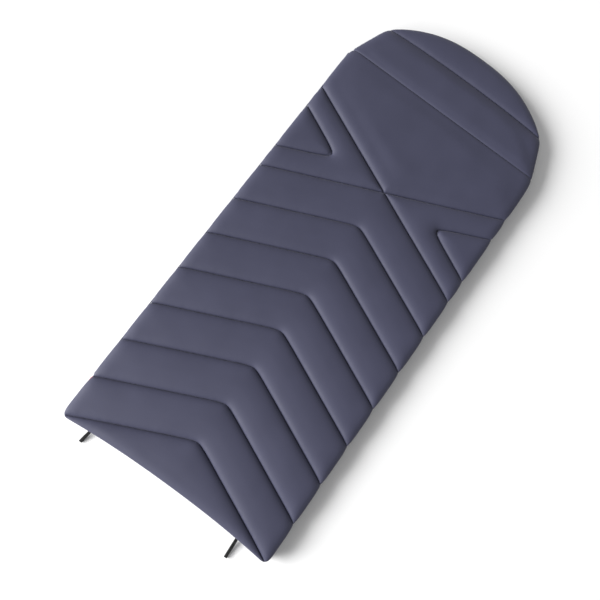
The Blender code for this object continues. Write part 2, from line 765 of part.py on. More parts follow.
def slider():
    """Zip slider: an H-shaped channel round both rows of teeth, with lips, lugs and a pin for the pull."""
    inside = TEETH / 2 + SLIDER_CLEARANCE
    outside = inside + SLIDER_PLATE
    half_height = SLIDER_HEIGHT / 2
    web = TEETH_SPACING / 2 - GAP
    lip_top = -half_height + SLIDER_LIP
    slot = SLIDER_SLOT / 2
    right = [
        (web_x, web_z)
        for web_x, web_z in (
            (slot, -half_height),
            (outside, -half_height),
            (outside, half_height),
            (inside, half_height),
            (inside, web),
        )
    ]
    left = [(-x, z) for x, z in reversed(right)]
    inner = [
        (-slot, lip_top),
        (-inside, lip_top),
        (-inside, -web),
        (inside, -web),
        (inside, lip_top),
        (slot, lip_top),
    ]
    outline = right + left + inner
    start = SLIDER_T - SLIDER_LENGTH / 2
    profile = [place(ZIP_X + x, start, PARTING + z) for x, z in outline]
    body = extrude_profile("zip_slider", profile, Vector((0.0, SLIDER_LENGTH, 0.0)), "zip_metal")
    pin_x = ZIP_X + outside + PIN_REACH
    half_pull = PULL_WIDTH / 4 + GAP
    for side in (-1, 1):
        near, far = sorted((side * half_pull, side * (half_pull + LUG)))
        lug = box(
            "lug",
            (ZIP_X + outside - 0.0005, SLIDER_T + near, PARTING - 0.0016),
            (pin_x + PIN_RADIUS + 0.0006, SLIDER_T + far, PARTING + 0.0016),
        )
        apply_boolean(body, lug, "UNION")
    pin = along_y("pin", PIN_RADIUS, half_pull + LUG / 2, pin_x)
    apply_boolean(body, pin, "UNION")
    pull(pin_x, half_pull - GAP)


def along_y(name, radius, half_length, x):
    """A cylinder along Y at the slider, centred on it."""
    profile = []
    for k in range(ROUND_SEGMENTS):
        angle = 2 * math.pi * k / ROUND_SEGMENTS
        profile.append(
            place(x + radius * math.cos(angle), SLIDER_T - half_length, PARTING + radius * math.sin(angle))
        )
    return extrude_profile(name, profile, Vector((0.0, 2 * half_length, 0.0)), "zip_metal")


def pull(pin_x, half_hub):
    """Pull tab that swings on the slider's pin and hangs down beside the mat."""
    tab = box(
        "zip_pull",
        (pin_x - PULL_THICKNESS / 2, SLIDER_T - PULL_WIDTH / 2, PARTING - PULL_LENGTH),
        (pin_x + PULL_THICKNESS / 2, SLIDER_T + PULL_WIDTH / 2, PARTING - 0.0042),
    )
    neck = box(
        "neck",
        (pin_x - PULL_THICKNESS / 2, SLIDER_T - half_hub, PARTING - 0.0060),
        (pin_x + PULL_THICKNESS / 2, SLIDER_T + half_hub, PARTING - 0.0010),
    )
    apply_boolean(tab, neck, "UNION")
    apply_boolean(tab, along_y("hub", PULL_HUB, half_hub, pin_x), "UNION")
    apply_boolean(tab, along_y("eye", PULL_EYE, half_hub + 0.002, pin_x), "DIFFERENCE")


# Sockets and leads --------------------------------------------------------------------------------


def sockets():
    """Two round power sockets with insulating inserts and two contact pins each."""
    for letter, t in zip("ab", SOCKET_T):
        centre = wall_point(t)
        back = -SOCKET_DEPTH
        housing = [
            (back, 0.0),
            (back, SOCKET_RADIUS),
            (GAP, SOCKET_RADIUS),
            (GAP, SOCKET_FLANGE),
            (GAP + FLANGE_THICKNESS, SOCKET_FLANGE),
            (GAP + FLANGE_THICKNESS, SOCKET_BORE),
            (back + SOCKET_FLOOR, SOCKET_BORE),
            (back + SOCKET_FLOOR, 0.0),
        ]
        turned(f"socket_housing_{letter}", housing, centre, "socket_plastic")
        insert_back = back + SOCKET_FLOOR + GAP
        insert = cylinder_profile(insert_back, insert_back + INSERT, SOCKET_BORE - GAP)
        turned(f"socket_insert_{letter}", insert, centre, "socket_plastic")
        for side in (-1, 1):
            start = insert_back + INSERT + GAP
            middle = centre + Vector((0.0, 0.0, side * CONTACT_SPREAD))
            place_name = "low" if side < 0 else "high"
            profile = cylinder_profile(start, start + CONTACT_LENGTH, CONTACT_RADIUS)
            turned(f"contact_pin_{letter}_{place_name}", profile, middle, "contact_metal")


def leads():
    """The mat's lead, the lead towards the cover and the lead in the cover.

    The last two meet end to end on the hinge line, so that the cover only twists the joint.
    """
    radius = CABLE / 2
    back_x = HALF - BASE_INSET - SOCKET_DEPTH - GAP
    cable_z = CABLE_Z + radius
    usable = WIDTH - 2 * (HEATED_INSET + 0.040)
    cable_x, cable_t = usable / 2, HEATED_INSET + CABLE_END
    route = [
        place(back_x, SOCKET_T[0], SOCKET_HEIGHT),
        place(back_x - 0.003, SOCKET_T[0], SOCKET_HEIGHT + 0.0008),
        place(back_x - 0.008, SOCKET_T[0], SOCKET_HEIGHT + 0.0060),
        place(back_x - 0.0125, SOCKET_T[0] - 0.001, cable_z + 0.0001),
        place(back_x - 0.022, SOCKET_T[0] - 0.004, cable_z),
        place(cable_x + 0.009, cable_t - 0.010, cable_z),
        place(cable_x + 0.003, cable_t - 0.014, cable_z),
        place(cable_x, cable_t - 0.008, cable_z),
        place(cable_x, cable_t - GAP, cable_z),
    ]
    tube("base_lead", smooth_path(route, 3), radius, "cable")

    lead_z = PAD_TOP + LEAD_PLAY + radius
    lane = INNER_INSET + 0.0050
    route = [
        place(back_x, SOCKET_T[1], SOCKET_HEIGHT),
        place(back_x - 0.003, SOCKET_T[1], SOCKET_HEIGHT + 0.0012),
        place(back_x - 0.0045, SOCKET_T[1] - 0.003, SOCKET_HEIGHT + 0.0065),
        place(back_x - 0.0025, SOCKET_T[1] - 0.009, lead_z - 0.0030),
        place(HALF - lane - 0.001, SOCKET_T[1] - 0.018, lead_z),
        place(HALF - lane, SOCKET_T[1] - 0.035, lead_z),
        place(HALF - lane, SOCKET_T[0] - 0.020, lead_z),
        place(HALF - lane, lane + 0.030, lead_z),
        place(HALF - lane - 0.003, lane + 0.008, lead_z),
        place(HALF - lane - 0.012, lane, lead_z),
        place(HALF - lane - 0.040, lane, lead_z),
        place(0.0, lane, lead_z),
        place(-HALF + lane + 0.040, lane, lead_z),
        place(-HALF + lane + 0.008, lane + 0.003, lead_z),
        place(-HALF + lane - 0.006, lane + 0.014, lead_z + 0.0004),
        place(HINGE_X + 0.006, LEAD_AXIS[0] - 0.022, PARTING - 0.0020),
        place(HINGE_X + 0.0008, LEAD_AXIS[0] - 0.008, PARTING - 0.0002),
        place(HINGE_X, LEAD_AXIS[0], PARTING),
        place(HINGE_X, LEAD_AXIS[1], PARTING),
    ]
    tube("cover_feed_lead", smooth_path(route, 3), radius, "cable")

    cover_z = COVER_CABLE_Z + radius
    route = [
        place(HINGE_X, LEAD_AXIS[1] + GAP, PARTING),
        place(HINGE_X, LEAD_AXIS[2] - 0.008, PARTING),
        place(HINGE_X + 0.0010, LEAD_AXIS[2], PARTING + 0.0004),
        place(HINGE_X + 0.0045, LEAD_AXIS[2] + 0.008, cover_z - 0.0009),
        place(HINGE_X + 0.0100, LEAD_AXIS[2] + 0.012, cover_z),
        place(-HALF + HEATED_INSET, LEAD_AXIS[2] + 0.012, cover_z),
        place(-cable_x - 0.014, LEAD_AXIS[2] + 0.008, cover_z),
        place(-cable_x - 0.005, cable_t - 0.010, cover_z),
        place(-cable_x, cable_t - 0.014, cover_z),
        place(-cable_x + 0.0004, cable_t - 0.006, cover_z),
        place(-cable_x, cable_t - GAP, cover_z),
    ]
    tube("cover_lead", smooth_path(route, 3), radius, "cable")


# The cover ----------------------------------------------------------------------------------------


def rounded_levels(edge_inset, rim, drop=0.0):
    """Outer side of the cover, as (inset, height) levels from the rim to the flat top."""
    rise = TOP - drop - rim
    return [
        (edge_inset + drop, rim),
        (edge_inset + drop, rim + 0.36 * rise),
        (edge_inset + drop + 0.005, rim + 0.66 * rise),
        (edge_inset + drop + 0.013, rim + 0.89 * rise),
        (edge_inset + drop + 0.026, TOP - drop),
    ]


def neck_levels(rim, drop=0.0):
    """The cover's square edge at the neck seam, with as many levels as its rounded sides."""
    rise = TOP - drop - rim
    return [(drop, rim + share * rise) for share in (0.0, 0.36, 0.66, 0.89, 1.0)]


def cover_shell():
    """The cover's quilted outer fabric: top and side walls, open at the bottom."""
    rim_zip = PARTING + ZIP_ROOM
    rim_left = PARTING + LEFT_INSET
    rim_neck = PARTING + GAP
    outer = zip(
        rounded_levels(0.0, rim_zip), rounded_levels(LEFT_INSET, rim_left), neck_levels(rim_neck)
    )
    inner = zip(
        rounded_levels(0.0, rim_zip, SHELL),
        rounded_levels(LEFT_INSET, rim_left, SHELL),
        neck_levels(rim_neck, SHELL),
    )
    rings = [cover_ring(*levels) for levels in reversed(list(outer))]
    rings += [cover_ring(*levels) for levels in inner]
    shell = ring_solid("cover_shell", rings, "cover_fabric")
    notch = box(
        "notch",
        (-HALF - 0.002, LEAD_AXIS[1] + 0.010, PARTING),
        (HINGE_X + 0.006, LEAD_AXIS[2] + 0.018, COVER_CABLE_Z + CABLE + 0.0012),
    )
    apply_boolean(shell, notch, "DIFFERENCE")


def cover_batting():
    low, high = COVER_BATTING_Z, COVER_BATTING_Z + COVER_BATTING
    tape_top = PARTING + TEETH_SPACING / 2 + TEETH + GAP + TAPE_HEIGHT
    shelf = tape_top + GAP
    side, left_side, neck_side = 0.008, LEFT_INSET + 0.008, SHELL + GAP
    rounding = high - 0.010
    rings = [
        cover_ring((INNER_INSET, low), (left_side, low), (neck_side, low)),
        cover_ring((INNER_INSET, shelf), (left_side, shelf), (neck_side, shelf)),
        cover_ring((side, shelf), (left_side, shelf), (neck_side, shelf)),
        cover_ring((side + 0.003, rounding), (left_side + 0.003, rounding), (neck_side, rounding)),
        cover_ring((side + 0.026, high), (left_side + 0.026, high), (neck_side, high)),
    ]
    ring_solid("cover_batting", rings, "batting")


def cover_liner():
    """Waterproof liner of the cover."""
    levels = (COVER_LINER_Z, COVER_LINER_Z + LINER)
    rings = [cover_ring((INNER_INSET, z), (0.013, z), (SHELL + GAP, z)) for z in levels]
    ring_solid("cover_liner", rings, "liner_fabric")


# The head flap ------------------------------------------------------------------------------------


def flap_shell():
    """The head flap's outer fabric, open at the bottom. It turns about the neck seam."""
    rim = PARTING + GAP
    outer = zip(rounded_levels(0.0, rim), neck_levels(rim))
    inner = zip(rounded_levels(0.0, rim, SHELL), neck_levels(rim, SHELL))
    rings = [flap_ring(*levels) for levels in reversed(list(outer))]
    rings += [flap_ring(*levels) for levels in inner]
    ring_solid("flap_shell", rings, "cover_fabric")


def flap_liner_z():
    return PARTING + 2 * GAP + TOUCH_TAPE


def flap_inside():
    """Filling and liner of the head flap."""
    low = flap_liner_z()
    edge = SHELL + 0.004
    rings = [flap_ring((edge, z), (SHELL + GAP, z)) for z in (low, low + LINER)]
    ring_solid("flap_liner", rings, "liner_fabric")
    low = low + LINER + GAP
    high = TOP - SHELL - GAP
    side, neck_side = 0.006, SHELL + GAP
    rings = [
        flap_ring((side, low), (neck_side, low)),
        flap_ring((side, low + 0.40 * (high - low)), (neck_side, low + 0.40 * (high - low))),
        flap_ring((side + 0.012, high - 0.007), (neck_side, high - 0.007)),
        flap_ring((side + 0.028, high), (neck_side, high)),
    ]
    ring_solid("flap_batting", rings, "batting")


def touch_tape(name, low):
    """Touch-fastener tape along the hood, between the shoulders."""
    inset = INNER_INSET + 0.001
    outer, inner = hood_line(inset), hood_line(inset + TOUCH_TAPE_WIDTH)
    rings = []
    for far, near in zip(outer, inner):
        rings.append(
            [
                place(*far, low),
                place(*near, low),
                place(*near, low + TOUCH_TAPE),
                place(*far, low + TOUCH_TAPE),
            ]
        )
    return ring_solid(name, rings, "touch_tape")


def hood_line(inset):
    """Plan points along the hood's edge, from the right shoulder to the left one."""
    start, end = BODY_LENGTH + 0.012, CORNER_T
    right = offset_line(Vector((HALF, BODY_LENGTH)), Vector((HOOD_HALF, CORNER_T)), inset)
    left = offset_line(Vector((-HOOD_HALF, end)), Vector((-HALF, BODY_LENGTH)), inset)
    level = (Vector((0.0, start)), Vector((1.0, 0.0)))
    return [meet(right, level), *hood_arc(right, left, inset), meet(left, level)]


# Hanging loops ------------------------------------------------------------------------------------


def loop_centreline(reach):
    """Closed line down the middle of the webbing: (distance out, height), from the root and back."""
    fold = (LOOP_GAP + LOOP_WEBBING) / 2
    root = (LOOP_ROOT_GAP + LOOP_WEBBING) / 2
    top = [(0.0, root), (0.010, root), (0.022, fold)]
    end = reach - LOOP_HALF
    bend = []
    for step in range(7):
        angle = math.pi / 2 - math.pi * step / 6
        bend.append((end + fold * math.cos(angle), fold * math.sin(angle)))
    back = []
    for step in range(1, 5):
        angle = -math.pi / 2 - math.pi * step / 5
        back.append((root * math.cos(angle), root * math.sin(angle)))
    return top + bend + [(x, -z) for x, z in reversed(top)] + back


def offset_closed(line, distance):
    """A closed line moved sideways by distance, with mitred corners."""
    points = [Vector(p) for p in line]
    moved = []
    for i, point in enumerate(points):
        before = (point - points[i - 1]).normalized()
        after = (points[(i + 1) % len(points)] - point).normalized()
        normal = Vector((-before.y - after.y, before.x + after.x)).normalized()
        moved.append(point + normal * distance / max(normal.dot(Vector((-before.y, before.x))), 0.4))
    return moved


def hanging_loop(name, side_distance, reach, turn):
    """Folded webbing loop on the foot of the mat, with its far end resting on the floor."""
    side = -1 if name == "left" else 1
    anchor_face = BASE_INSET - GAP - LOOP_WEBBING
    root = (side * (HALF - side_distance), LOOP_ROOT_T, LOOP_HEIGHT)
    line = loop_centreline(reach + LOOP_ROOT_T)
    lean = side * math.tan(math.radians(turn))
    bm = bmesh.new()
    bands = []
    for across in (-LOOP_WIDTH / 2, LOOP_WIDTH / 2):
        for distance in (-LOOP_WEBBING / 2, LOOP_WEBBING / 2):
            edge = offset_closed(line, distance)
            bands.append([bm.verts.new((across + lean * max(p.x, 0.0), -p.x, p.y)) for p in edge])
    count = len(line)
    for a, b in ((0, 1), (1, 3), (3, 2), (2, 0)):
        for i in range(count):
            j = (i + 1) % count
            bm.faces.new((bands[a][i], bands[a][j], bands[b][j], bands[b][i]))
    obj = finish_mesh(f"hang_loop_{name}", bm, "webbing")
    obj.location = place(*root)
    obj.rotation_euler = (loop_drop(reach), 0.0, 0.0)
    box(
        f"loop_anchor_{name}",
        (root[0] - LOOP_WIDTH / 2 - 0.0015, anchor_face, LOOP_HEIGHT - 0.0065),
        (root[0] + LOOP_WIDTH / 2 + 0.0015, BASE_INSET - GAP, LOOP_HEIGHT + 0.0065),
        "webbing",
    )


def main():
    clear_scene()
    base_skin()
    base_filling()
    heated_stack("base", FOIL_Z, HEATER_Z, CABLE_Z)
    base_liner()
    piping()
    zip_halves()
    slider()
    sockets()
    leads()
    cover_shell()
    cover_batting()
    heated_stack("cover", COVER_FOIL_Z, COVER_HEATER_Z, COVER_CABLE_Z)
    cover_liner()
    flap_shell()
    flap_inside()
    touch_tape("touch_tape_hook", BORDER_Z + GAP)
    touch_tape("touch_tape_loop", PARTING + GAP)
    for loop in LOOPS:
        hanging_loop(*loop)


main()
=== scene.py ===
"""The looks of an infrared sauna blanket: quilted fabric, liners, zip, webbing, light and camera.

Plan positions are (x, t) in metres: x across the blanket and t from the foot edge towards the head.
"""

import json
import math

import bmesh
import bpy
import numpy as np
from mathutils import Matrix, Vector, geometry, noise

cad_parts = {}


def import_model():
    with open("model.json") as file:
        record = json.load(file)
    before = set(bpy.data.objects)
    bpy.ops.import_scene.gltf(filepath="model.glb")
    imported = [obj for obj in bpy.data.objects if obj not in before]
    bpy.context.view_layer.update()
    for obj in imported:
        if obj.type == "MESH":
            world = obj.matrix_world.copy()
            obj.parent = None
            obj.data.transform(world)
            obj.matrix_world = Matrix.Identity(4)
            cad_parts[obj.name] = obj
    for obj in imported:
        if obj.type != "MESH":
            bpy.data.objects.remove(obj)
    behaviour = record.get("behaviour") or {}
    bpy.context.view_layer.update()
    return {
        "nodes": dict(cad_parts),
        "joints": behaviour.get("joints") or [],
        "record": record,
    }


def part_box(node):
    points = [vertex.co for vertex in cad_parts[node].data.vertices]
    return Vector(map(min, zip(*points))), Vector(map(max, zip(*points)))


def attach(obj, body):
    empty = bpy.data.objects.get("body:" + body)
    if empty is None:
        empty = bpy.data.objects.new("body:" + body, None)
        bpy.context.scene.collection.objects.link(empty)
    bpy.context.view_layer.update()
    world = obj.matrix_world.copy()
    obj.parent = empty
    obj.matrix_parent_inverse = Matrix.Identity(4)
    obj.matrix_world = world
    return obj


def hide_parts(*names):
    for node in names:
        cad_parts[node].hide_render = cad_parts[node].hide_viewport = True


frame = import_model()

# Places taken from the frame
FOOT_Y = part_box("cover_shell")[0].y
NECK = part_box("cover_shell")[1].y - FOOT_Y
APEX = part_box("flap_shell")[1].y - FOOT_Y
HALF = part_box("cover_shell")[1].x
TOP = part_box("cover_shell")[1].z
JOINTS = {joint["name"]: joint for joint in frame["joints"]}
HINGE_X, _, PARTING = JOINTS["cover_open"]["pos_m"]
ZIP_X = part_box("zip_stop_lower")[0].x / 2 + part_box("zip_stop_lower")[1].x / 2
ZIP_INSET = HALF - ZIP_X
ZIP_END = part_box("zip_stop_lower")[0].y - FOOT_Y

# Outline of the quilt
FOOT_BOW = 0.016  # the foot edge's middle lies this far towards the head
FOOT_HORN = 0.005  # its corners stick out this far
FLARE = 0.004  # extra half-width at the foot, on the right
MAT_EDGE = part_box("base_side_right")[1].x
HOOD_CORNER_X = 0.337
HOOD_CORNER_T = 1.733
HOOD_POWER = 2.45
SHOULDER_SLOPE = 0.357
SHOULDER_SOFTNESS = 0.011
CORNER_ROUNDING = 0.022

# Quilting
BAFFLE = 0.149  # distance between chevrons along the edge
SLOPE = 0.4556
EDGE_X = 0.400  # the chevrons are placed by where they reach this half-width
SEAM_END_X = 0.42  # seams are drawn this far out, past the outline
PEAK_ROUNDING = 0.015
CROSS_T = 7 * BAFFLE + SLOPE * EDGE_X
SIDE_V_X = 0.192
SIDE_V_ROUNDING = 0.0146
BROW_T = 1.746  # seam of the hood's brow, at the centre
BROW_DROP = 0.011
SEAM_DEPTH = 0.0145
GROOVE = 0.0022  # the seams' narrow groove is this much deeper
GROOVE_WIDTH = 0.0022
SEAM_REACH = 0.044
EDGE_REACH = 0.036
SIDE_Z = 0.049  # height of the cover's widest line
NOTCH = 0.0060  # the sides are drawn in this far where seams end
NOTCH_REACH = 0.045
LIP_REACH = 0.010
HINGE_GAP = 0.0003
FLOOR_GAP = 0.0002  # the floor lies this far below the mat

# Cloth simulation
CELL = 0.0125
FRAMES = 20
SWELL = 0.0060  # most that a panel may swell
CLOTH_MASS = 0.3

# Liners
FOLD = 0.0005  # height of their folds
LINER_STEP = 0.0105  # distance between points of the flat part
LINER_EDGE_STEP = 0.0085

# Seam strip of painted groove shade, and its stitches: profiles are (across, up) offsets, and a stitch is (share
# of a step, lift)
SEAM_PROFILE = [(-0.0019, 0.0), (0.0, -0.0004), (0.0019, 0.0), (0.0, 0.0004)]
SEAM_LIFT = 0.0007
STITCH_PROFILE = [(-0.0004, 0), (0, -0.0003), (0.0004, 0), (0, 0.0003)]
STITCH = ((0.10, -0.0002), (0.25, 0.0005), (0.75, 0.0005), (0.90, -0.0002))

# Zip: heights are measured from the parting plane
TAPE_NEAR, TAPE_FAR, TAPE_HALF_THICKNESS = 0.0036, 0.0124, 0.0003
BEAD_Z, BEAD_RADIUS = 0.0037, 0.0006
TEETH_NEAR, TEETH_FAR = 0.0008, 0.0033
TOOTH_PITCH = 0.0030
TOOTH_SHARES = (0.12, 0.26, 0.58, 0.72)  # sections of a tooth, as shares of the pitch
TOOTH = [(-0.0012, -0.0009), (-0.0006, -0.00125), (0.0006, -0.00125), (0.0012, -0.0009)]
TOOTH += [(0.0012, 0.0009), (0.0006, 0.00125), (-0.0006, 0.00125), (-0.0012, 0.0009)]

# Mesh density
SEAM_STEP = 0.005
GRID_STEP = 0.0095
SEAM_OFFSETS = (0.0012, 0.0028, 0.0052, 0.0085, 0.0130, 0.0190, 0.0260)
EDGE_OFFSETS = (0.0010, 0.0026, 0.0050, 0.0084, 0.0130, 0.0190, 0.0260)

# Colours
FABRIC = (0.039, 0.0405, 0.077)
# painted shade: near-black colour of the strip laid in each seam groove, standing for the groove's shadow
SEAM_SHADE_COLOUR = (0.004, 0.0043, 0.009)
LINER = (0.030, 0.031, 0.040)


# Materials ----------------------------------------------------------------------------------------


class Shader:
    """A Principled material with procedural colour, roughness and relief in the piece's own coordinates."""

    def __init__(self, name, colour, roughness, metallic=0.0, **sockets):
        self.material = bpy.data.materials.new(name)
        self.material.use_nodes = True
        self.tree = self.material.node_tree
        self.principled = self.tree.nodes["Principled BSDF"]
        self.colour = colour
        self.set("Base Color", (*colour, 1.0))
        self.set("Roughness", roughness)
        self.set("Metallic", metallic)
        for key, value in sockets.items():
            self.set(key.replace("_", " "), value)
        self.coordinates = self.node("ShaderNodeTexCoord").outputs["Object"]
        self.height = None

    def node(self, kind, **settings):
        made = self.tree.nodes.new(kind)
        for key, value in settings.items():
            setattr(made, key, value)
        return made

    def set(self, socket, value):
        self.principled.inputs[socket].default_value = value

    def join(self, output, target):
        self.tree.links.new(output, target)

    def noise(self, scale, detail=3.0, stretch=(1.0, 1.0, 1.0)):
        mapping = self.node("ShaderNodeMapping")
        mapping.inputs["Scale"].default_value = stretch
        self.join(self.coordinates, mapping.inputs["Vector"])
        texture = self.node("ShaderNodeTexNoise")
        texture.inputs["Scale"].default_value = scale
        texture.inputs["Detail"].default_value = detail
        self.join(mapping.outputs["Vector"], texture.inputs["Vector"])
        return texture.outputs["Fac"]

    def wave(self, period, turn=(0.0, 0.0, 0.0), distortion=0.0):
        """Even bands, one for each period, across the turned X axis."""
        mapping = self.node("ShaderNodeMapping")
        mapping.inputs["Rotation"].default_value = [math.radians(a) for a in turn]
        self.join(self.coordinates, mapping.inputs["Vector"])
        texture = self.node("ShaderNodeTexWave", wave_type="BANDS", bands_direction="X")
        texture.inputs["Scale"].default_value = math.pi / 10 / period
        texture.inputs["Distortion"].default_value = distortion
        texture.inputs["Detail Scale"].default_value = 2.0
        self.join(mapping.outputs["Vector"], texture.inputs["Vector"])
        return texture.outputs["Fac"]

    def math(self, operation, a, b):
        made = self.node("ShaderNodeMath", operation=operation)
        for socket, value in zip(made.inputs, (a, b)):
            if isinstance(value, (int, float)):
                socket.default_value = value
            else:
                self.join(value, socket)
        return made.outputs[0]

    def spread(self, value, low, high):
        """Maps 0.3 to 0.7, where most noise lies, to low to high."""
        made = self.node("ShaderNodeMapRange")
        made.inputs["From Min"].default_value = 0.3
        made.inputs["From Max"].default_value = 0.7
        made.inputs["To Min"].default_value = low
        made.inputs["To Max"].default_value = high
        self.join(value, made.inputs["Value"])
        return made.outputs["Result"]

    def vary_colour(self, factor, dark=0.9, light=1.1):
        mix = self.node("ShaderNodeMix", data_type="RGBA")
        mix.inputs["A"].default_value = (*[c * dark for c in self.colour], 1.0)
        mix.inputs["B"].default_value = (*[c * light for c in self.colour], 1.0)
        self.join(factor, mix.inputs["Factor"])
        self.join(mix.outputs["Result"], self.principled.inputs["Base Color"])

    def vary_roughness(self, factor, low, high):
        self.join(self.spread(factor, low, high), self.principled.inputs["Roughness"])

    def relief(self, height, depth, strength=1.0):
        bump = self.node("ShaderNodeBump")
        bump.inputs["Distance"].default_value = depth
        bump.inputs["Strength"].default_value = strength
        self.join(height, bump.inputs["Height"])
        if self.height:
            self.join(self.height, bump.inputs["Normal"])
        self.height = bump.outputs["Normal"]
        self.join(self.height, self.principled.inputs["Normal"])


def woven(name, colour, roughness, period, depth, **sockets):
    """Plain weave with a fine grain, uneven dye and soft wear."""
    shader = Shader(name, colour, roughness, **sockets)
    warp = shader.wave(period, (0.0, 35.0, 0.0), 0.25)
    weft = shader.wave(period, (35.0, 0.0, 90.0), 0.25)
    weave = shader.math("MULTIPLY", warp, weft)
    grain = shader.noise(900.0, 2.0)
    patches = shader.noise(9.0, 4.0)
    mottle = shader.math("ADD", shader.math("MULTIPLY", grain, 0.45), shader.math("MULTIPLY", patches, 0.55))
    shader.vary_colour(shader.spread(mottle, 0.0, 1.0), 0.93, 1.07)
    shader.vary_roughness(patches, roughness - 0.05, roughness + 0.05)
    shader.relief(weave, depth, 0.7)
    shader.relief(grain, depth * 1.5, 0.5)
    return shader.material


def coated(name, colour, roughness, **sockets):
    """Soft coated liner cloth with a leather-like grain."""
    shader = Shader(name, colour, roughness, **sockets)
    cells = shader.node("ShaderNodeTexVoronoi")
    cells.inputs["Scale"].default_value = 420.0
    shader.join(shader.coordinates, cells.inputs["Vector"])
    patches = shader.noise(7.0, 4.0)
    shader.vary_colour(shader.spread(patches, 0.0, 1.0), 0.88, 1.12)
    shader.vary_roughness(patches, roughness - 0.06, roughness + 0.06)
    shader.relief(cells.outputs["Distance"], 0.00018, 0.8)
    return shader.material


def ribbed(name, colour, roughness, period, depth):
    """Ribbed webbing or tape."""
    shader = Shader(name, colour, roughness, Sheen_Weight=0.03)
    rib = shader.wave(period, (0.0, 0.0, 90.0), 0.1)
    thread = shader.wave(period * 0.6, (0.0, 30.0, 0.0), 0.1)
    shader.vary_colour(shader.spread(shader.noise(300.0), 0.0, 1.0), 0.75, 1.3)
    shader.relief(shader.math("MULTIPLY", rib, thread), depth, 0.8)
    return shader.material


def plain(name, colour, roughness, metallic=0.0, grain=300.0, depth=0.00003, **sockets):
    """Metal or plastic with slight colour and gloss variation."""
    shader = Shader(name, colour, roughness, metallic, **sockets)
    cloud = shader.noise(grain, 4.0)
    shader.vary_colour(shader.spread(shader.noise(40.0, 3.0), 0.0, 1.0), 0.88, 1.12)
    shader.vary_roughness(cloud, max(roughness - 0.08, 0.05), roughness + 0.08)
    shader.relief(cloud, depth, 0.6)
    return shader.material


def make_materials():
    sheen = {"Sheen_Weight": 0.12, "Sheen_Roughness": 0.45}
    return {
        "cover_fabric": woven("quilt_fabric", FABRIC, 0.62, 0.0016, 0.00010, **sheen),
        "liner_fabric": coated("liner_cloth", LINER, 0.46),
        "batting": woven("felted_batting", (0.66, 0.65, 0.61), 0.95, 0.0031, 0.0003),
        "foil": plain("crinkled_foil", (0.80, 0.81, 0.83), 0.22, 1.0, 90.0, 0.0006),
        "heater_felt": woven("heating_felt", (0.045, 0.045, 0.047), 0.9, 0.0022, 0.0002),
        "cable": plain("silicone_cable", (0.50, 0.045, 0.035), 0.45),
        "zip_tape": ribbed("zip_tape_weave", (0.028, 0.029, 0.040), 0.85, 0.0012, 0.0001),
        "zip_teeth": plain("zip_teeth_nylon", (0.022, 0.023, 0.030), 0.32),
        "zip_metal": plain("gunmetal", (0.10, 0.10, 0.11), 0.33, 1.0, 500.0, 0.00002),
        "webbing": ribbed("ribbed_webbing", (0.0020, 0.0020, 0.0024), 0.9, 0.0013, 0.0002),
        "socket_plastic": plain("moulded_plastic", (0.012, 0.012, 0.013), 0.42, 0.0, 900.0),
        "contact_metal": plain("brass", (0.78, 0.60, 0.28), 0.25, 1.0),
        "touch_tape": woven("touch_pile", (0.016, 0.016, 0.018), 0.95, 0.0014, 0.0006),
        # painted shade: the "thread" material is the dark strip laid in the seam grooves where their shadow
        # falls, not thread
        "thread": ribbed("painted_seam_shade", SEAM_SHADE_COLOUR, 0.8, 0.0008, 0.0001),
        "stitch": ribbed("stitches", (0.016, 0.017, 0.027), 0.6, 0.0005, 0.00005),
    }


# Pieces -------------------------------------------------------------------------------------------


def add_piece(name, vertices, faces, slot, body, replaced=(), material=None):
    mesh = bpy.data.meshes.new(name)
    mesh.from_pydata([tuple(v) for v in vertices], [], [tuple(f) for f in faces])
    mesh.validate()
    mesh.shade_smooth()
    piece = bpy.data.objects.new(name, mesh)
    bpy.context.scene.collection.objects.link(piece)
    return dress(piece, slot, body, replaced, material)


def dress(piece, slot, body, replaced=(), material=None):
    piece.data.materials.clear()
    piece.data.materials.append(MATERIALS[material or slot])
    if body:
        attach(piece, body)
    if replaced:
        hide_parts(*replaced)
    return piece


def cad_copy(name, node):
    """A new object with a CAD node's mesh, in world coordinates."""
    source = frame["nodes"][node]
    mesh = source.data.copy()
    mesh.transform(source.matrix_world)
    piece = bpy.data.objects.new(name, mesh)
    bpy.context.scene.collection.objects.link(piece)
    return piece


def outward(piece):
    """Turns the faces of a closed mesh outwards."""
    bm = bmesh.new()
    bm.from_mesh(piece.data)
    bmesh.ops.recalc_face_normals(bm, faces=bm.faces)
    bm.to_mesh(piece.data)
    bm.free()


def world(plan, z):
    """World points for plan points at height z."""
    plan = np.asarray(plan, float)
    return np.column_stack([plan[:, 0], plan[:, 1] + FOOT_Y, np.broadcast_to(z, len(plan))])


# Outlines -----------------------------------------------------------------------------------------


def half_width(t):
    """Half the quilt's width at t, from the foot to the hood's corners."""
    straight = HALF - 0.0005 + FLARE * np.clip(1.0 - t / 0.9, 0.0, 1.0) ** 2
    shoulder = 0.3905 - SHOULDER_SLOPE * (t - 1.596)
    return 0.5 * (straight + shoulder - np.sqrt((straight - shoulder) ** 2 + SHOULDER_SOFTNESS**2))


def foot_t(x):
    """The foot edge: bowed in at the middle, with its corners sticking out."""
    bow = FOOT_BOW * (1.0 - (np.abs(x) / 0.36) ** 2.2)
    return np.maximum(bow, -FOOT_HORN)


def hood_t(x):
    """The hood's arc."""
    return APEX - (APEX - HOOD_CORNER_T) * (np.abs(x) / HOOD_CORNER_X) ** HOOD_POWER


def resample(line, step, closed=False):
    """Evenly spaced points along a line."""
    line = np.asarray(line, float)
    if closed:
        line = np.vstack([line, line[:1]])
    reach = np.concatenate([[0.0], np.cumsum(np.linalg.norm(np.diff(line, axis=0), axis=1))])
    count = max(int(round(reach[-1] / step)), 2)
    places = np.linspace(0.0, reach[-1], count + 1)
    made = np.column_stack([np.interp(places, reach, line[:, k]) for k in range(line.shape[1])])
    return made[:-1] if closed else made


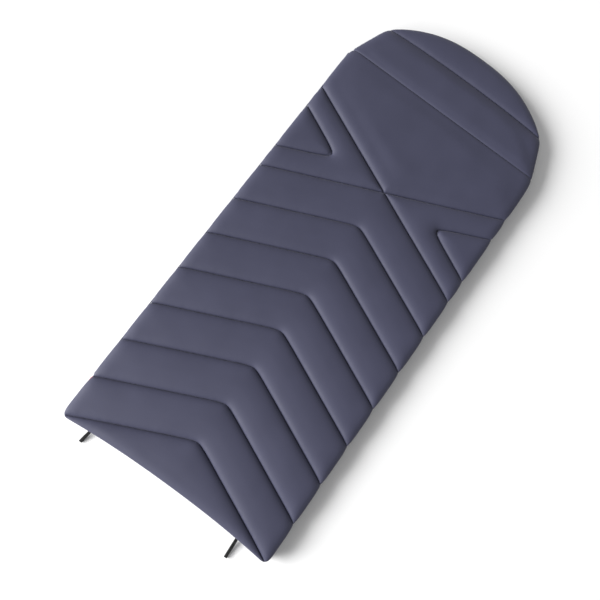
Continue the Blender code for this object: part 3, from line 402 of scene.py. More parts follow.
def rounded(outline, corners, radius):
    """Rounds a closed outline, evenly spaced, at the given corners."""
    step = np.linalg.norm(outline[1] - outline[0])
    soft = outline.copy()
    for _ in range(int((radius / step) ** 2 * 0.7) + 1):
        soft = 0.5 * soft + 0.25 * (np.roll(soft, 1, axis=0) + np.roll(soft, -1, axis=0))
    weight = np.zeros(len(outline))
    for corner in corners:
        distance = np.linalg.norm(outline - np.asarray(corner), axis=1)
        weight = np.maximum(weight, np.exp(-((distance / (1.7 * radius)) ** 4)))
    return outline * (1 - weight[:, None]) + soft * weight[:, None]


def cover_outline():
    """The cover: foot edge, right side, neck and left side."""
    corner = float(half_width(np.array(-FOOT_HORN)))
    xs = np.linspace(-corner, corner, 240)
    ts = np.linspace(-FOOT_HORN, NECK, 400)
    right = np.column_stack([half_width(ts), ts])
    left = np.column_stack([-half_width(ts), ts])[::-1]
    line = np.vstack([np.column_stack([xs, foot_t(xs)]), right[1:], left[:-1]])
    line[:, 0] = np.maximum(line[:, 0], HINGE_X + HINGE_GAP)
    line = resample(line, 0.003, closed=True)
    line = rounded(line, [(-corner, -FOOT_HORN), (corner, -FOOT_HORN)], CORNER_ROUNDING)
    neck_x = float(half_width(np.array(NECK)))
    return resample(rounded(line, [(neck_x, NECK), (-neck_x, NECK)], 0.006), 0.0058, closed=True)


def flap_outline():
    """The head flap: neck, right side, arc and left side."""
    start = NECK + 0.0008
    ts = np.linspace(start, HOOD_CORNER_T, 80)
    xs = np.linspace(HOOD_CORNER_X, -HOOD_CORNER_X, 300)
    right = np.column_stack([half_width(ts) * HOOD_CORNER_X / half_width(np.array(HOOD_CORNER_T)), ts])
    blend = ((ts - start) / (HOOD_CORNER_T - start))[:, None]
    plain_right = np.column_stack([half_width(ts), ts])
    right = plain_right * (1 - blend) + right * blend
    left = (right * [-1.0, 1.0])[::-1]
    neck = np.column_stack([np.linspace(left[-1][0], right[0][0], 160), np.full(160, start)])
    line = np.vstack([neck[:-1], right, np.column_stack([xs, hood_t(xs)])[1:-1], left[:-1]])
    line = resample(line, 0.003, closed=True)
    corners = [(HOOD_CORNER_X, HOOD_CORNER_T), (-HOOD_CORNER_X, HOOD_CORNER_T)]
    line = rounded(line, corners, CORNER_ROUNDING)
    neck_x = right[0][0]
    return resample(rounded(line, [(neck_x, start), (-neck_x, start)], 0.006), 0.0058, closed=True)


def normals_in(outline):
    """Inward unit normals of an anticlockwise outline."""
    along = np.roll(outline, -1, axis=0) - np.roll(outline, 1, axis=0)
    along /= np.linalg.norm(along, axis=1)[:, None]
    return np.column_stack([-along[:, 1], along[:, 0]])


# Seams --------------------------------------------------------------------------------------------


def chevron(edge_t):
    """A seam that peaks on the middle line and reaches the sides at edge_t."""
    xs = np.linspace(-SEAM_END_X, SEAM_END_X, 169)
    peak = edge_t + SLOPE * EDGE_X
    return np.column_stack([xs, peak - SLOPE * (np.sqrt(xs**2 + PEAK_ROUNDING**2))])


def cover_seams():
    """The cover's seams: seven chevrons, the cross and a small V on each side."""
    seams = [chevron(k * BAFFLE) for k in range(7)]
    rise = SLOPE * SEAM_END_X
    for side in (-1, 1):
        seams.append(np.array([[-side * SEAM_END_X, CROSS_T - rise], [side * SEAM_END_X, CROSS_T + rise]]))
    spread = np.linspace(-0.105, 0.105, 61)
    reach = SIDE_V_X + np.sqrt(spread**2 + SIDE_V_ROUNDING**2) / SLOPE
    for side in (-1, 1):
        seams.append(np.column_stack([side * reach, CROSS_T + spread]))
    return [resample(seam, SEAM_STEP) for seam in seams]


def flap_seams():
    xs = np.linspace(-0.36, 0.36, 145)
    return [resample(np.column_stack([xs, BROW_T - BROW_DROP * (xs / HOOD_CORNER_X) ** 2]), SEAM_STEP)]


def segment_distance(points, starts, ends):
    """Distance of each point to the nearest of the segments."""
    best = np.full(len(points), 9.0)
    along = ends - starts
    square = np.maximum((along**2).sum(1), 1e-12)
    for low in range(0, len(points), 4000):
        part = points[low : low + 4000, None, :]
        share = np.clip(((part - starts) * along).sum(2) / square, 0.0, 1.0)
        gap = part - (starts + share[..., None] * along)
        best[low : low + 4000] = np.sqrt((gap**2).sum(2).min(1))
    return best


def line_distance(points, lines):
    """Distance of each point to the nearest line, which is taken as straight over two steps."""
    starts = np.vstack([line[:-1:2] for line in lines])
    ends = np.vstack([np.vstack([line[2::2], line[-1:]])[: len(line[:-1:2])] for line in lines])
    return segment_distance(points, starts, ends)


def inside(points, outline):
    x, y = points[:, 0], points[:, 1]
    result = np.zeros(len(points), bool)
    for (ax, ay), (bx, by) in zip(outline, np.roll(outline, -1, axis=0)):
        crosses = (ay > y) != (by > y)
        if not crosses.any():
            continue
        with np.errstate(divide="ignore", invalid="ignore"):
            result ^= crosses & (x < (bx - ax) * (y - ay) / (by - ay) + ax)
    return result


class Quilt:
    """A quilted panel: its outline, its seams and its height at any plan point."""

    def __init__(self, outline, seams, neck_t=None):
        self.outline = outline
        self.seams = seams
        self.neck_t = neck_t
        following = np.roll(outline, -1, axis=0)
        if neck_t is None:
            keep = np.ones(len(outline), bool)
        else:
            keep = (np.abs(outline[:, 1] - neck_t) > 0.004) | (np.abs(following[:, 1] - neck_t) > 0.004)
        self.edge_starts, self.edge_ends = outline[keep], following[keep]
        self.swell = None

    def side_distance(self, points):
        return segment_distance(points, self.edge_starts, self.edge_ends)

    def seam_distance(self, points):
        return line_distance(points, self.seams)

    def distances(self, points):
        """Distances to the sides, the seams and the neck."""
        side = self.side_distance(points)
        neck = np.full(len(points), 9.0) if self.neck_t is None else np.abs(points[:, 1] - self.neck_t)
        return side, self.seam_distance(points), neck

    def points(self):
        """Plan points for the mesh, and the edges that have to be in it."""
        chosen = [tuple(p) for p in self.outline]
        count = len(chosen)
        edges = [(i, (i + 1) % count) for i in range(count)]
        for seam in self.seams:
            fine = inside(seam, self.outline) & (self.side_distance(seam) > 0.0012)
            if self.neck_t is not None:
                fine &= np.abs(seam[:, 1] - self.neck_t) > 0.0012
            previous = None
            for point, good in zip(seam, fine):
                if not good:
                    previous = None
                    continue
                chosen.append(tuple(point))
                if previous is not None:
                    edges.append((previous, len(chosen) - 1))
                previous = len(chosen) - 1
        free = []
        for offset in SEAM_OFFSETS:
            for seam in self.seams:
                along = np.gradient(seam, axis=0)
                along /= np.linalg.norm(along, axis=1)[:, None]
                side = np.column_stack([-along[:, 1], along[:, 0]])
                for sign in (-1, 1):
                    row = seam + side * offset * sign
                    row = row[line_distance(row, self.seams) > offset * 0.93]
                    free.append(row)
        inward = normals_in(self.outline)
        for offset in EDGE_OFFSETS:
            free.append(self.outline + inward * offset)
        low, high = self.outline.min(0), self.outline.max(0)
        xs = np.arange(low[0], high[0], GRID_STEP)
        ts = np.arange(low[1], high[1], GRID_STEP * 0.87)
        grid = np.stack(np.meshgrid(xs, ts), -1)
        grid[1::2, :, 0] += GRID_STEP / 2
        grid = grid.reshape(-1, 2)
        grid = grid[inside(grid, self.outline)]
        grid = grid[(line_distance(grid, self.seams) > 0.029) & (self.side_distance(grid) > 0.029)]
        free.append(grid)
        free = np.vstack(free)
        free = free[inside(free, self.outline)]
        whole = segment_distance(free, self.outline, np.roll(self.outline, -1, axis=0))
        near = np.minimum(whole, line_distance(free, self.seams))
        free = free[near > 0.0007]
        reach = np.clip(near[near > 0.0007] * 0.45, 0.0009, 0.0045)
        return chosen, edges, thinned(np.array(chosen), free, reach)

    def shares(self, points):
        """Shares of the full height left by the seams, the sides and the neck, and the first two's distances."""
        side, seam, neck = self.distances(points)
        puff = bulge(seam / SEAM_REACH, 2.1)
        edge = bulge(side / EDGE_REACH, 2.1)
        lip = bulge(neck / LIP_REACH, 2.0)
        return puff, edge, lip, side, seam


def bulge(share, power):
    """Rises steeply from 0 and levels off at 1."""
    rest = 1.0 - np.clip(share, 0.0, 1.0)
    return (1.0 - rest**power) ** (1.0 / power)


def thinned(fixed, free, reach):
    """Leaves out free points that crowd the fixed ones or each other."""
    cell = 0.0045
    cells = {}

    def crowded(x, y, gap):
        i, j = int(x // cell), int(y // cell)
        for a in (i - 1, i, i + 1):
            for b in (j - 1, j, j + 1):
                for px, py in cells.get((a, b), ()):
                    if (px - x) ** 2 + (py - y) ** 2 < gap * gap:
                        return True
        return False

    for x, y in fixed:
        cells.setdefault((int(x // cell), int(y // cell)), []).append((x, y))
    kept = []
    for (x, y), gap in zip(free, reach):
        if not crowded(x, y, gap):
            cells.setdefault((int(x // cell), int(y // cell)), []).append((x, y))
            kept.append((x, y))
    return kept


def pull_in(points, side, seam):
    """Draws the sides in where seams end, so that each puff stands out between them."""
    near = np.clip(1.0 - side / 0.050, 0.0, 1.0) ** 2
    draw = NOTCH * (1.0 - bulge(seam / NOTCH_REACH, 2.0)) * near
    x_share = np.clip((np.abs(points[:, 0]) - 0.20) / 0.15, 0.0, 1.0)
    moved = points.copy()
    moved[:, 0] -= np.sign(points[:, 0]) * draw * x_share
    return moved


def wrinkle(points, seam, side, seed):
    """Small folds: gathers beside the seams and slow waves over the puffs."""
    made = np.zeros(len(points))
    for i, (x, t) in enumerate(points):
        slow = noise.noise(Vector((x * 13.0, t * 13.0, seed)))
        wide = noise.noise(Vector((x * 5.0, t * 5.0, seed + 7.0)))
        quick = noise.noise(Vector((x * 75.0, t * 75.0, seed + 3.0)))
        gather = math.exp(-seam[i] / 0.012) + 0.6 * math.exp(-side[i] / 0.014)
        made[i] = 0.0007 * slow + 0.0009 * wide + 0.0006 * quick * gather
    return made


def triangulated(quilt):
    """Plan points and triangles of a quilt, and the indices of its rim."""
    chosen, edges, free = quilt.points()
    plan = [Vector(p) for p in chosen + free]
    result = geometry.delaunay_2d_cdt(plan, edges, [], 1, 1e-6)
    vertices, _, faces, origins = result[:4]
    where = {}
    for index, came_from in enumerate(origins):
        for source in came_from:
            where[source] = index
    rim = [where[i] for i in range(len(quilt.outline))]
    return np.array([tuple(v) for v in vertices]), [tuple(f) for f in faces], rim


def quilt_surface(quilt, base_z, top_z, depth, lip_drop, seed):
    """A function that gives the moved plan points and the heights of plan points on a padded panel."""
    up = 1.0 if top_z > base_z else -1.0

    def surface(plan):
        puff, edge, lip, side, seam = quilt.shares(plan)
        crown = top_z - up * depth * (1.0 - puff) - up * lip_drop * (1.0 - lip)
        height = base_z + (crown - base_z) * edge
        height += up * wrinkle(plan, seam, side, seed) * np.minimum(edge, lip)
        if quilt.swell is not None:
            height += up * quilt.swell(plan) * np.minimum(np.minimum(edge, lip), puff)
        height -= up * GROOVE * np.exp(-((seam / GROOVE_WIDTH) ** 2)) * edge
        height = np.maximum(height, FLOOR_GAP)
        return pull_in(plan, side, seam), height

    return surface


def quilt_piece(name, quilt, surface, down, skirt, slot, body, replaced):
    """A padded panel. The skirt is a function of the rim's plan points that gives (inset, height) arrays."""
    plan, faces, rim = triangulated(quilt)
    moved, height = surface(plan)
    vertices = [*world(moved, height)]
    outline = moved[rim]
    inward = normals_in(outline)
    ring = list(rim)
    for inset, z in skirt(outline):
        start = len(vertices)
        vertices.extend(world(outline + inward * np.asarray(inset)[:, None], z))
        fresh = list(range(start, len(vertices)))
        for i in range(len(ring)):
            j = (i + 1) % len(ring)
            faces.append((ring[i], fresh[i], fresh[j], ring[j]))
        ring = fresh
    if down:
        faces = [tuple(reversed(face)) for face in faces]
    piece = add_piece(name, vertices, faces, slot, body, replaced)
    outward(piece)
    return piece


def swelling(quilt, surface, base_z):
    """Blows a panel up as cloth that is held along its seams and edges. Gives its rise at any plan point."""
    low = quilt.outline.min(0) - CELL
    size = ((quilt.outline.max(0) + CELL - low) / CELL).astype(int) + 1
    grid = np.stack(np.meshgrid(*[low[k] + CELL * np.arange(size[k]) for k in (0, 1)], indexing="ij"), -1)
    grid = grid.reshape(-1, 2)
    keep = inside(grid, quilt.outline)
    plan = grid[keep]
    _, height = surface(plan)
    count = len(plan)
    index = np.full(len(grid), -1)
    index[keep] = np.arange(count)
    index = index.reshape(size)
    corners = np.stack([index[:-1, :-1], index[1:, :-1], index[1:, 1:], index[:-1, 1:]], -1).reshape(-1, 4)
    cells = corners[(corners >= 0).all(1)]
    edges = {(a, b) for cell in cells.tolist() for a, b in zip(cell, cell[1:] + cell[:1])}
    rim = [(a, b) for a, b in edges if (b, a) not in edges]
    faces = cells.tolist() + [cell[::-1] for cell in (cells + count).tolist()]
    faces += [(a, a + count, b + count, b) for a, b in sorted(rim)]
    flat = base_z - np.sign(height.mean() - base_z) * 0.004
    bottom = world(plan, flat)
    mesh = bpy.data.meshes.new("swelling")
    mesh.from_pydata(np.vstack([world(plan, height), bottom]).tolist(), [], faces)
    panel = bpy.data.objects.new("swelling", mesh)
    bpy.context.scene.collection.objects.link(panel)
    outward(panel)
    side, seam, neck = quilt.distances(plan)
    held = np.flatnonzero((side < 0.016) | (seam < 0.008) | (neck < 0.008)).tolist()
    panel.vertex_groups.new(name="held").add(held + list(range(count, 2 * count)), 1.0, "REPLACE")
    cloth = panel.modifiers.new("cloth", "CLOTH")
    cloth.point_cache.frame_start, cloth.point_cache.frame_end = 1, FRAMES
    settings = cloth.settings
    settings.quality = 4
    settings.mass = CLOTH_MASS
    settings.tension_stiffness = settings.compression_stiffness = 8.0
    settings.bending_stiffness = 0.3
    settings.vertex_group_mass = "held"
    settings.use_pressure = True
    settings.uniform_pressure_force = 4.0
    settings.effector_weights.gravity = 0.0
    for step in range(1, FRAMES + 1):
        bpy.context.scene.frame_set(step)
    result = panel.evaluated_get(bpy.context.evaluated_depsgraph_get()).to_mesh()
    moved = np.empty(len(result.vertices) * 3)
    result.vertices.foreach_get("co", moved)
    rise = np.abs(moved.reshape(-1, 3)[:count, 2] - height)
    bpy.data.objects.remove(panel)
    bpy.context.scene.frame_set(1)
    field = np.zeros(len(grid))
    field[keep] = np.minimum(rise, SWELL)
    field = field.reshape(size)
    for axis in (0, 1):
        field = 0.5 * field + 0.25 * (np.roll(field, 1, axis) + np.roll(field, -1, axis))

    def rise_at(points):
        place = (points - low) / CELL
        corner = np.clip(place.astype(int), 0, np.array(field.shape) - 2)
        share = np.clip(place - corner, 0.0, 1.0)
        i, j = corner.T
        u, v = share.T
        left = field[i, j] * (1 - v) + field[i, j + 1] * v
        right = field[i + 1, j] * (1 - v) + field[i + 1, j + 1] * v
        return left * (1 - u) + right * u

    return rise_at


def smooth_share(value, low, high):
    """Rises smoothly from 0 at low to 1 at high."""
    share = np.clip((value - low) / (high - low), 0.0, 1.0)
    return share * share * (3 - 2 * share)


def left_share(outline, end=0.012):
    """1 along the left side, where the hinge is."""
    return smooth_share(-outline[:, 0], HALF - 0.030, HALF - end)


def cover_joined(outline):
    """1 where the cover is joined to the mat or the head flap, and 0 along the zip."""
    left = left_share(outline) * smooth_share(outline[:, 1], 0.02, 0.05)
    neck = smooth_share(outline[:, 1], NECK - 0.012, NECK - 0.003)
    return np.maximum(left, neck)


def mat_open(outline):
    """1 where the mat's rim carries the zip, and 0 along the left side and the hood."""
    hood = smooth_share(outline[:, 1], NECK - 0.01, NECK + 0.02)
    return (1 - left_share(outline)) * (1 - hood)


def cover_skirt(outline):
    """Sides of the cover: they roll under to the zip, and reach down at the hinge and the neck."""
    low = cover_joined(outline)
    zip_z, join_z = PARTING + 0.0072, PARTING + 0.0022
    rim = zip_z * (1 - low) + join_z * low
    one = np.ones(len(outline))
    yield 0.0004 * one, (SIDE_Z + rim) / 2 + 0.0016
    yield 0.0014 * one, rim + 0.0010
    yield 0.0030 * one, rim
    yield 0.0062 * (1 - low) + 0.0040 * low, rim + 0.0006
    yield 0.0090 * (1 - low) + 0.0060 * low, rim + 0.0025
    yield 0.0240 * (1 - low) + 0.0110 * low, rim + 0.0036


def flap_skirt(outline):
    """Sides of the head flap, down to the mat's rim."""
    one = np.ones(len(outline))
    rim = PARTING + 0.0008
    yield 0.0004 * one, (SIDE_Z + rim) / 2 * one
    yield 0.0014 * one, (rim + 0.0016) * one
    yield 0.0034 * one, rim * one
    yield 0.0062 * one, (rim + 0.0022) * one
    yield 0.0110 * one, (rim + 0.0032) * one


# The mat ------------------------------------------------------------------------------------------


def shifted(outline, inset_side, inset_left):
    """The outline moved inwards, by its own amount along the left side."""
    left = left_share(outline, 0.010)
    inset = inset_side * (1 - left) + inset_left * left
    moved = outline + normals_in(outline) * inset[:, None]
    moved[:, 0] = np.minimum(moved[:, 0], MAT_EDGE)
    return moved


def whole_outline():
    """The mat's outline, which is the cover's and the head flap's together."""
    cover, flap = cover_outline(), flap_outline()
    lower = cover[cover[:, 1] < NECK - 0.010]
    lower = np.roll(lower, -np.argmin(lower[:, 1] + np.abs(lower[:, 0] + HALF)), axis=0)
    upper = flap[flap[:, 1] > NECK + 0.012]
    start = np.argmax(upper[:, 0] - 5 * np.abs(upper[:, 1] - NECK))
    upper = np.roll(upper, -start, axis=0)
    steps = zip(lower, lower[1:])
    cut = next(i for i, (a, b) in enumerate(steps) if a[0] > 0.2 and b[0] < -0.2 and a[1] > 1.0) + 1
    line = np.vstack([lower[:cut], upper, lower[cut:]])
    return resample(line, LINER_EDGE_STEP, closed=True)


def base_skirt(outline):
    """Sides of the mat, from its rounded lower edge up to the rim."""
    open_zip = mat_open(outline)
    rim = (PARTING - 0.0022) * (1 - open_zip) + (PARTING - 0.0072) * open_zip
    one = np.ones(len(outline))
    yield 0.0 * one, 0.017 + 0.0 * one
    yield 0.0002 * one, rim - 0.0045
    yield 0.0010 * one, rim - 0.0012
    yield 0.0022 * one, rim
    yield 0.0040 * one, rim - 0.0012
    yield 0.0052 * one, 0.0238 * open_zip + 0.0308 * (1 - open_zip)
    yield 0.0150 * one, 0.0228 * open_zip + 0.0300 * (1 - open_zip)


def liner_piece(name, outline, rows, level, thickness, seed, body, replaced):
    """A liner: rows of (inset, height) from its edge inwards, then a flat part with soft folds."""
    inward = normals_in(outline)
    vertices, faces, count = [], [], len(outline)
    for inset, height in rows:
        plan = outline + inward * np.asarray(inset)[:, None]
        vertices.extend(world(plan, height))
    for row in range(len(rows) - 1):
        for i in range(count):
            j = (i + 1) % count
            a, b = row * count, (row + 1) * count
            faces.append((a + i, a + j, b + j, b + i))
    xs = np.arange(plan[:, 0].min(), plan[:, 0].max(), LINER_STEP)
    ts = np.arange(plan[:, 1].min(), plan[:, 1].max(), LINER_STEP)
    grid = np.stack(np.meshgrid(xs, ts), -1).reshape(-1, 2)
    grid = grid[inside(grid, plan)]
    rim_gap = segment_distance(grid, plan, np.roll(plan, -1, axis=0))
    grid, rim_gap = grid[rim_gap > 0.004], rim_gap[rim_gap > 0.004]
    loop = [(i, (i + 1) % count) for i in range(count)]
    joined = [Vector(p) for p in np.vstack([plan, grid])]
    points, _, inner, origins = geometry.delaunay_2d_cdt(joined, loop, [], 1, 1e-6)[:4]
    first = len(vertices)
    where = {}
    for index, sources in enumerate(origins):
        if sources and min(sources) < count:
            where[index] = (len(rows) - 1) * count + min(sources)
            continue
        x, t = points[index]
        wide = noise.noise(Vector((x * 9.0, t * 6.0, seed)))
        fold = wide + 0.4 * noise.noise(Vector((x * 25.0, t * 21.0, seed)))
        lift = FOLD * fold * min(rim_gap[sources[0] - count] / 0.04, 1.0) if sources else 0.0
        where[index] = first
        vertices.append((x, t + FOOT_Y, level + lift))
        first += 1
    faces.extend(tuple(where[k] for k in face) for face in inner)
    sheet = add_piece(name, vertices, faces, "liner_fabric", None)
    top = np.array([tuple(v.co) for v in sheet.data.vertices])
    normal = np.array([tuple(v.normal) for v in sheet.data.vertices])
    under = top - normal * thickness * np.sign(normal[:, 2].mean())
    bpy.data.objects.remove(sheet)
    total = len(top)
    faces += [tuple(k + total for k in reversed(face)) for face in faces]
    faces += [(i, i + total, (i + 1) % count + total, (i + 1) % count) for i in range(count)]
    piece = add_piece(name, np.vstack([top, under]), faces, "liner_fabric", body, replaced)
    outward(piece)
    return piece


def make_liners():
    """The three liners; along the zip their edges turn away from it, down in the mat and up in the cover."""
    mat = resample(whole_outline(), LINER_EDGE_STEP, closed=True)
    shut = 1 - mat_open(mat)
    one = np.ones(len(mat))
    flare = FLARE * np.clip(1.0 - mat[:, 1] / 0.9, 0.0, 1.0) ** 2 * (mat[:, 0] > HALF - 0.002)
    rows = [
        (0.0176 - 0.0056 * shut + flare, 0.0236 + 0.0072 * shut),
        (0.0174 - 0.0051 * shut + flare, 0.0296 + 0.0020 * shut),
        (0.0182 - 0.0042 * shut + flare, 0.0316 + 0.0005 * shut),
        (0.0210 - 0.0010 * shut + flare, 0.0322 * one),
        (0.0315 * one, 0.0320 * one),
        (0.0345 * one, 0.0292 * one),
        (0.0375 * one, 0.0263 * one),
    ]
    nodes = ("base_liner", "liner_border")
    liner_piece("base_liner_cloth", mat, rows, 0.0258, 0.0010, 11.0, "mat", nodes)
    cover = resample(cover_outline(), LINER_EDGE_STEP, closed=True)
    shut = cover_joined(cover)
    one = np.ones(len(cover))
    rows = [
        (0.0215 - 0.0130 * shut, 0.0456 - 0.0064 * shut),
        (0.0210 - 0.0125 * shut, 0.0400 - 0.0020 * shut),
        (0.0222 - 0.0124 * shut, 0.0372 * one),
        (0.0250 - 0.0090 * shut, 0.0360 * one),
        (0.0330 * one, 0.0356 * one),
    ]
    nodes = ("cover_liner",)
    liner_piece("cover_liner_cloth", cover, rows, 0.0357, 0.0008, 17.0, "cover", nodes)
    flap = resample(flap_outline(), LINER_EDGE_STEP, closed=True)
    one = np.ones(len(flap))
    rows = [(0.0080 * one, 0.0392 * one), (0.0084 * one, 0.0384 * one), (0.0100 * one, 0.0378 * one)]
    nodes = ("flap_liner",)
    liner_piece("flap_liner_cloth", flap, rows, 0.0378, 0.0008, 23.0, "head_flap", nodes)


# Zip, tapes and webbing ---------------------------------------------------------------------------


def zip_line():
    """Plan points along the zip: the foot, the corner and the right side."""
    xs = np.linspace(-0.365, ZIP_X - 0.022, 300)
    foot = np.column_stack([xs, foot_t(xs) + ZIP_INSET])
    turn = np.linspace(0.0, 1.0, 25)[1:-1, None]
    start, corner = foot[-1], np.array([ZIP_X, foot[-1][1]])
    end = np.array([ZIP_X, foot[-1][1] + 0.022])
    arc = start * (1 - turn) ** 2 + 2 * corner * turn * (1 - turn) + end * turn**2
    return np.vstack([foot, arc, end, [ZIP_X, ZIP_END]])


def circle(radius, count):
    return [(radius * math.cos(a), radius * math.sin(a)) for a in np.linspace(0, 2 * math.pi, count + 1)[:-1]]


def make_zip():
    """Both halves of the zip: a flat tape with a bead along its edge, and a row of teeth."""
    line = zip_line()
    smooth = resample(line, 0.004)
    teeth = resample(line, TOOTH_PITCH)
    wide = TAPE_HALF_THICKNESS
    for side, half, body in ((-1, "lower", "mat"), (1, "upper", "cover")):
        near, far = PARTING + side * TAPE_NEAR, PARTING + side * TAPE_FAR
        height = abs(far - near) / 2
        flat = [(-wide, -height), (wide, -height), (wide, height), (-wide, height)]
        tape = (world(smooth, (near + far) / 2), flat)
        bead = (world(smooth, PARTING + side * BEAD_Z), circle(BEAD_RADIUS, 6))
        nodes = (f"zip_tape_{half}_foot", f"zip_tape_{half}_side")
        sweep_piece(f"zip_{half}_tape", [tape, bead], "zip_tape", body, nodes)
        middle = ((PARTING + side * TEETH_FAR) + (PARTING + side * TEETH_NEAR)) / 2
        rows = []
        for point, step in zip(teeth[:-1], np.diff(teeth, axis=0)):
            rows.append((world([point + step * share for share in TOOTH_SHARES], middle), TOOTH))
        nodes = (f"zip_teeth_{half}_foot", f"zip_teeth_{half}_side")
        sweep_piece(f"zip_{half}_teeth", rows, "zip_teeth", body, nodes)


def make_piping():
    """Round piping down the left seam, which the cover turns about."""
    low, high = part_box("hinge_piping")
    ys = np.arange(low.y, high.y, 0.006)
    path = np.column_stack([np.full(len(ys), HINGE_X), ys, np.full(len(ys), PARTING)])
    sweep_piece("left_seam_piping", [(path, circle(0.0016, 10))], "cover_fabric", "mat", ("hinge_piping",))


def strip_on(name, node, slot, body, bevel):
    """A soft strip in the place of a CAD strip: the same faces, with edges rounded by a bevel."""
    piece = cad_copy(name, node)
    mesh = piece.data
    bm = bmesh.new()
    bm.from_mesh(mesh)
    bmesh.ops.remove_doubles(bm, verts=bm.verts, dist=0.00001)
    bmesh.ops.dissolve_limit(bm, angle_limit=math.radians(3.0), verts=bm.verts, edges=bm.edges)
    sharp = [e for e in bm.edges if len(e.link_faces) == 2 and e.calc_face_angle() > math.radians(30.0)]
    bmesh.ops.bevel(bm, geom=sharp, offset=bevel, segments=3, profile=0.6, affect="EDGES", clamp_overlap=True)
    bm.to_mesh(mesh)
    bm.free()
    mesh.shade_smooth()
    return dress(piece, slot, body, (node,))


def make_feed_lead():
    """The lead under the mat's border, bowed in along the foot like the edge it follows."""
    piece = cad_copy("feed_lead", "cover_feed_lead")
    points = np.array([tuple(vertex.co) for vertex in piece.data.vertices])
    near_foot = 1.0 - smooth_share(points[:, 1] - FOOT_Y, 0.030, 0.120)
    points[:, 1] += near_foot * np.clip(foot_t(points[:, 0]), 0.0, None)
    for vertex, point in zip(piece.data.vertices, points):
        vertex.co = point
    dress(piece, "cable", "mat", ("cover_feed_lead",))


def make_trim():
    """Piping, feed lead, touch tapes and the webbing at the foot."""
    make_piping()
    make_feed_lead()
    strip_on("hook_tape", "touch_tape_hook", "touch_tape", "mat", 0.0005)
    strip_on("loop_tape", "touch_tape_loop", "touch_tape", "head_flap", 0.0005)
    for side in ("left", "right"):
        strip_on(f"{side}_webbing_loop", f"hang_loop_{side}", "webbing", f"{side}_loop", 0.00035)
        strip_on(f"{side}_loop_patch", f"loop_anchor_{side}", "webbing", "mat", 0.0003)


def make_panel(name, quilt, base_z, top_z, depth, lip_drop, skirt, seed, body, replaced):
    """A quilted panel, swollen by simulation, with its seams sewn down and strips of painted groove shade laid
    along them.
    """
    surface = quilt_surface(quilt, base_z, top_z, depth, lip_drop, seed)
    quilt.swell = swelling(quilt, surface, base_z)
    quilt_piece(name, quilt, surface, top_z < base_z, skirt, "cover_fabric", body, replaced)
    sew(f"{name}_seams", quilt, surface, -1.0 if top_z < base_z else 1.0, body)


def sew(name, quilt, surface, up, body):
    """Dark strips of painted shade in the seam grooves, where the grooves' shadow falls, and the stitches along
    them.
    """
    lines, stitches = [], []
    for seam in quilt.seams:
        fine = inside(seam, quilt.outline) & (quilt.side_distance(seam) > 0.003)
        if quilt.neck_t is not None:
            fine &= np.abs(seam[:, 1] - quilt.neck_t) > 0.003
        for start, end in runs(fine):
            part = seam[start:end]
            if len(part) < 3:
                continue
            moved, height = surface(part)
            path = world(moved, height + up * SEAM_LIFT)
            lines.append((path, SEAM_PROFILE))
            for a, b in zip(path[:-1], path[1:]):
                steps = [a + (b - a) * share + [0, 0, up * lift] for share, lift in STITCH]
                stitches.append((np.array(steps), STITCH_PROFILE))
    # painted shade: a dark strip along each seam groove, where the groove's shadow falls; the stitches below are
    # real thread
    sweep_piece(name, lines, "cover_fabric", body, material="thread")
    sweep_piece(f"{name}_stitches", stitches, "cover_fabric", body, material="stitch")


def runs(flags):
    """Start and end of each run of true flags."""
    padded = np.concatenate([[False], flags, [False]]).astype(int)
    change = np.flatnonzero(np.diff(padded))
    return list(zip(change[::2], change[1::2]))


def sweep_piece(name, sweeps, slot, body, replaced=(), material=None):
    """One piece from closed profiles of (across, up) offsets carried along paths of world points."""
    vertices, faces = [], []
    for path, profile in sweeps:
        along = np.gradient(path, axis=0)
        along /= np.maximum(np.linalg.norm(along, axis=1), 1e-9)[:, None]
        across = np.cross(along, (0.0, 0.0, 1.0))
        across /= np.maximum(np.linalg.norm(across, axis=1), 1e-9)[:, None]
        upward = np.cross(across, along)
        start, size = len(vertices), len(profile)
        for point, a, b in zip(path, across, upward):
            vertices.extend(point + a * u + b * v for u, v in profile)
        for k in range(len(path) - 1):
            row = start + k * size
            for i in range(size):
                j = (i + 1) % size
                faces.append((row + i, row + j, row + size + j, row + size + i))
        last = start + (len(path) - 1) * size
        faces.append(tuple(range(start, start + size))[::-1])
        faces.append(tuple(range(last, last + size)))
    piece = add_piece(name, vertices, faces, slot, body, replaced, material)
    outward(piece)
    return piece


def main_quilts():
    """The three quilted panels: cover, head flap and mat."""
    cover = Quilt(cover_outline(), cover_seams(), NECK)
    flap = Quilt(flap_outline(), flap_seams(), NECK)
    mat_seams = [resample(chevron(k * BAFFLE), 0.010) for k in range(-1, 12)]
    mat = Quilt(shifted(whole_outline(), 0.0075, 0.0022), mat_seams)
    top = TOP - 0.0022 - SWELL
    make_panel(
        "cover_quilt", cover, SIDE_Z, top, SEAM_DEPTH, 0.0042, cover_skirt, 1.0, "cover",
        ("cover_shell", "cover_batting"),
    )
    make_panel(
        "flap_quilt", flap, SIDE_Z, top - 0.0006, SEAM_DEPTH * 0.82, 0.0042, flap_skirt, 5.0, "head_flap",
        ("flap_shell", "flap_batting"),
    )
    sides = ("foot", "right", "head", "left")
    edges = [f"{kind}_{side}" for kind in ("base_side", "edge_pad") for side in sides]
    make_panel(
        "base_quilt", mat, 0.0125, 0.0, 0.0045, 0.0, base_skirt, 9.0, "mat",
        ("base_underside", "base_batting", "socket_panel", *edges),
    )


# Camera, light and floor --------------------------------------------------------------------------


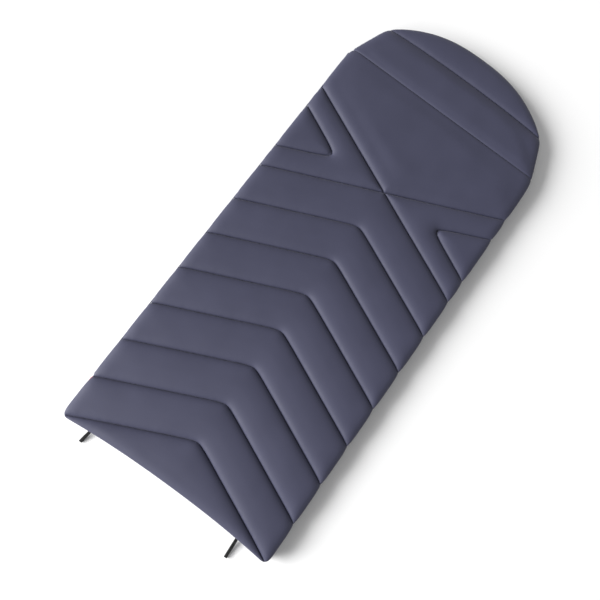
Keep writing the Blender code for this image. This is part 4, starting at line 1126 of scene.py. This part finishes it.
def make_camera():
    """Camera above the foot, turned so that the blanket lies across the picture from corner to corner."""
    distance, elevation, roll = 2.78, math.radians(78.2), math.radians(36.2)
    aim = Vector((0.12, 0.7485 + FOOT_Y, 0.040))
    back = Vector((0.0, -math.cos(elevation), math.sin(elevation)))
    level_up = Vector((0.0, math.sin(elevation), math.cos(elevation)))
    across = Vector((1.0, 0.0, 0.0))
    right = across * math.cos(roll) + level_up * math.sin(roll)
    up = level_up * math.cos(roll) - across * math.sin(roll)
    data = bpy.data.cameras.new("camera")
    data.lens, data.sensor_width = 50.0, 36.0
    data.shift_x, data.shift_y = -0.053, 0.039
    camera = bpy.data.objects.new("camera", data)
    bpy.context.scene.collection.objects.link(camera)
    camera.location = aim + back * distance
    camera.rotation_euler = Matrix((right, up, back)).transposed().to_euler()
    bpy.context.scene.camera = camera


def lamp(name, kind, direction, distance, energy, **settings):
    """A lamp in a direction from the origin, pointing back at it."""
    data = bpy.data.lights.new(name, kind)
    data.energy = energy
    for key, value in settings.items():
        setattr(data, key, value)
    light = bpy.data.objects.new(name, data)
    bpy.context.scene.collection.objects.link(light)
    direction = Vector(direction).normalized()
    light.location = direction * distance
    light.rotation_euler = direction.to_track_quat("Z", "Y").to_euler()


def make_light():
    world_data = bpy.data.worlds.new("studio")
    world_data.use_nodes = True
    background = world_data.node_tree.nodes["Background"]
    background.inputs["Color"].default_value = (1.0, 1.0, 1.0, 1.0)
    background.inputs["Strength"].default_value = 0.38
    bpy.context.scene.world = world_data
    lamp("key", "SUN", (-0.82, -0.46, 0.40), 4.0, 5.2, angle=math.radians(42.0))
    lamp("foot", "AREA", (-0.55, -0.90, 0.60), 3.0, 40.0, shape="DISK", size=1.6)
    settings = bpy.context.scene.view_settings
    settings.view_transform = "Standard"
    settings.look = "None"


def make_floor():
    mesh = bpy.data.meshes.new("floor")
    size = 12.0
    corners = [(-size, -size, 0), (size, -size, 0), (size, size, 0), (-size, size, 0)]
    mesh.from_pydata(corners, [], [(0, 1, 2, 3)])
    floor = bpy.data.objects.new("floor", mesh)
    bpy.context.scene.collection.objects.link(floor)
    floor.location.z = -FLOOR_GAP
    mesh.materials.append(Shader("floor_paper", (0.93, 0.93, 0.93), 0.9).material)


make_camera()
MATERIALS = make_materials()
for entry in frame["record"]["subparts"]:
    node = frame["nodes"][entry["node"]]
    node.data.materials.clear()
    node.data.materials.append(MATERIALS[entry["material_slot"]])
main_quilts()
make_liners()
make_zip()
make_trim()
make_light()
make_floor()
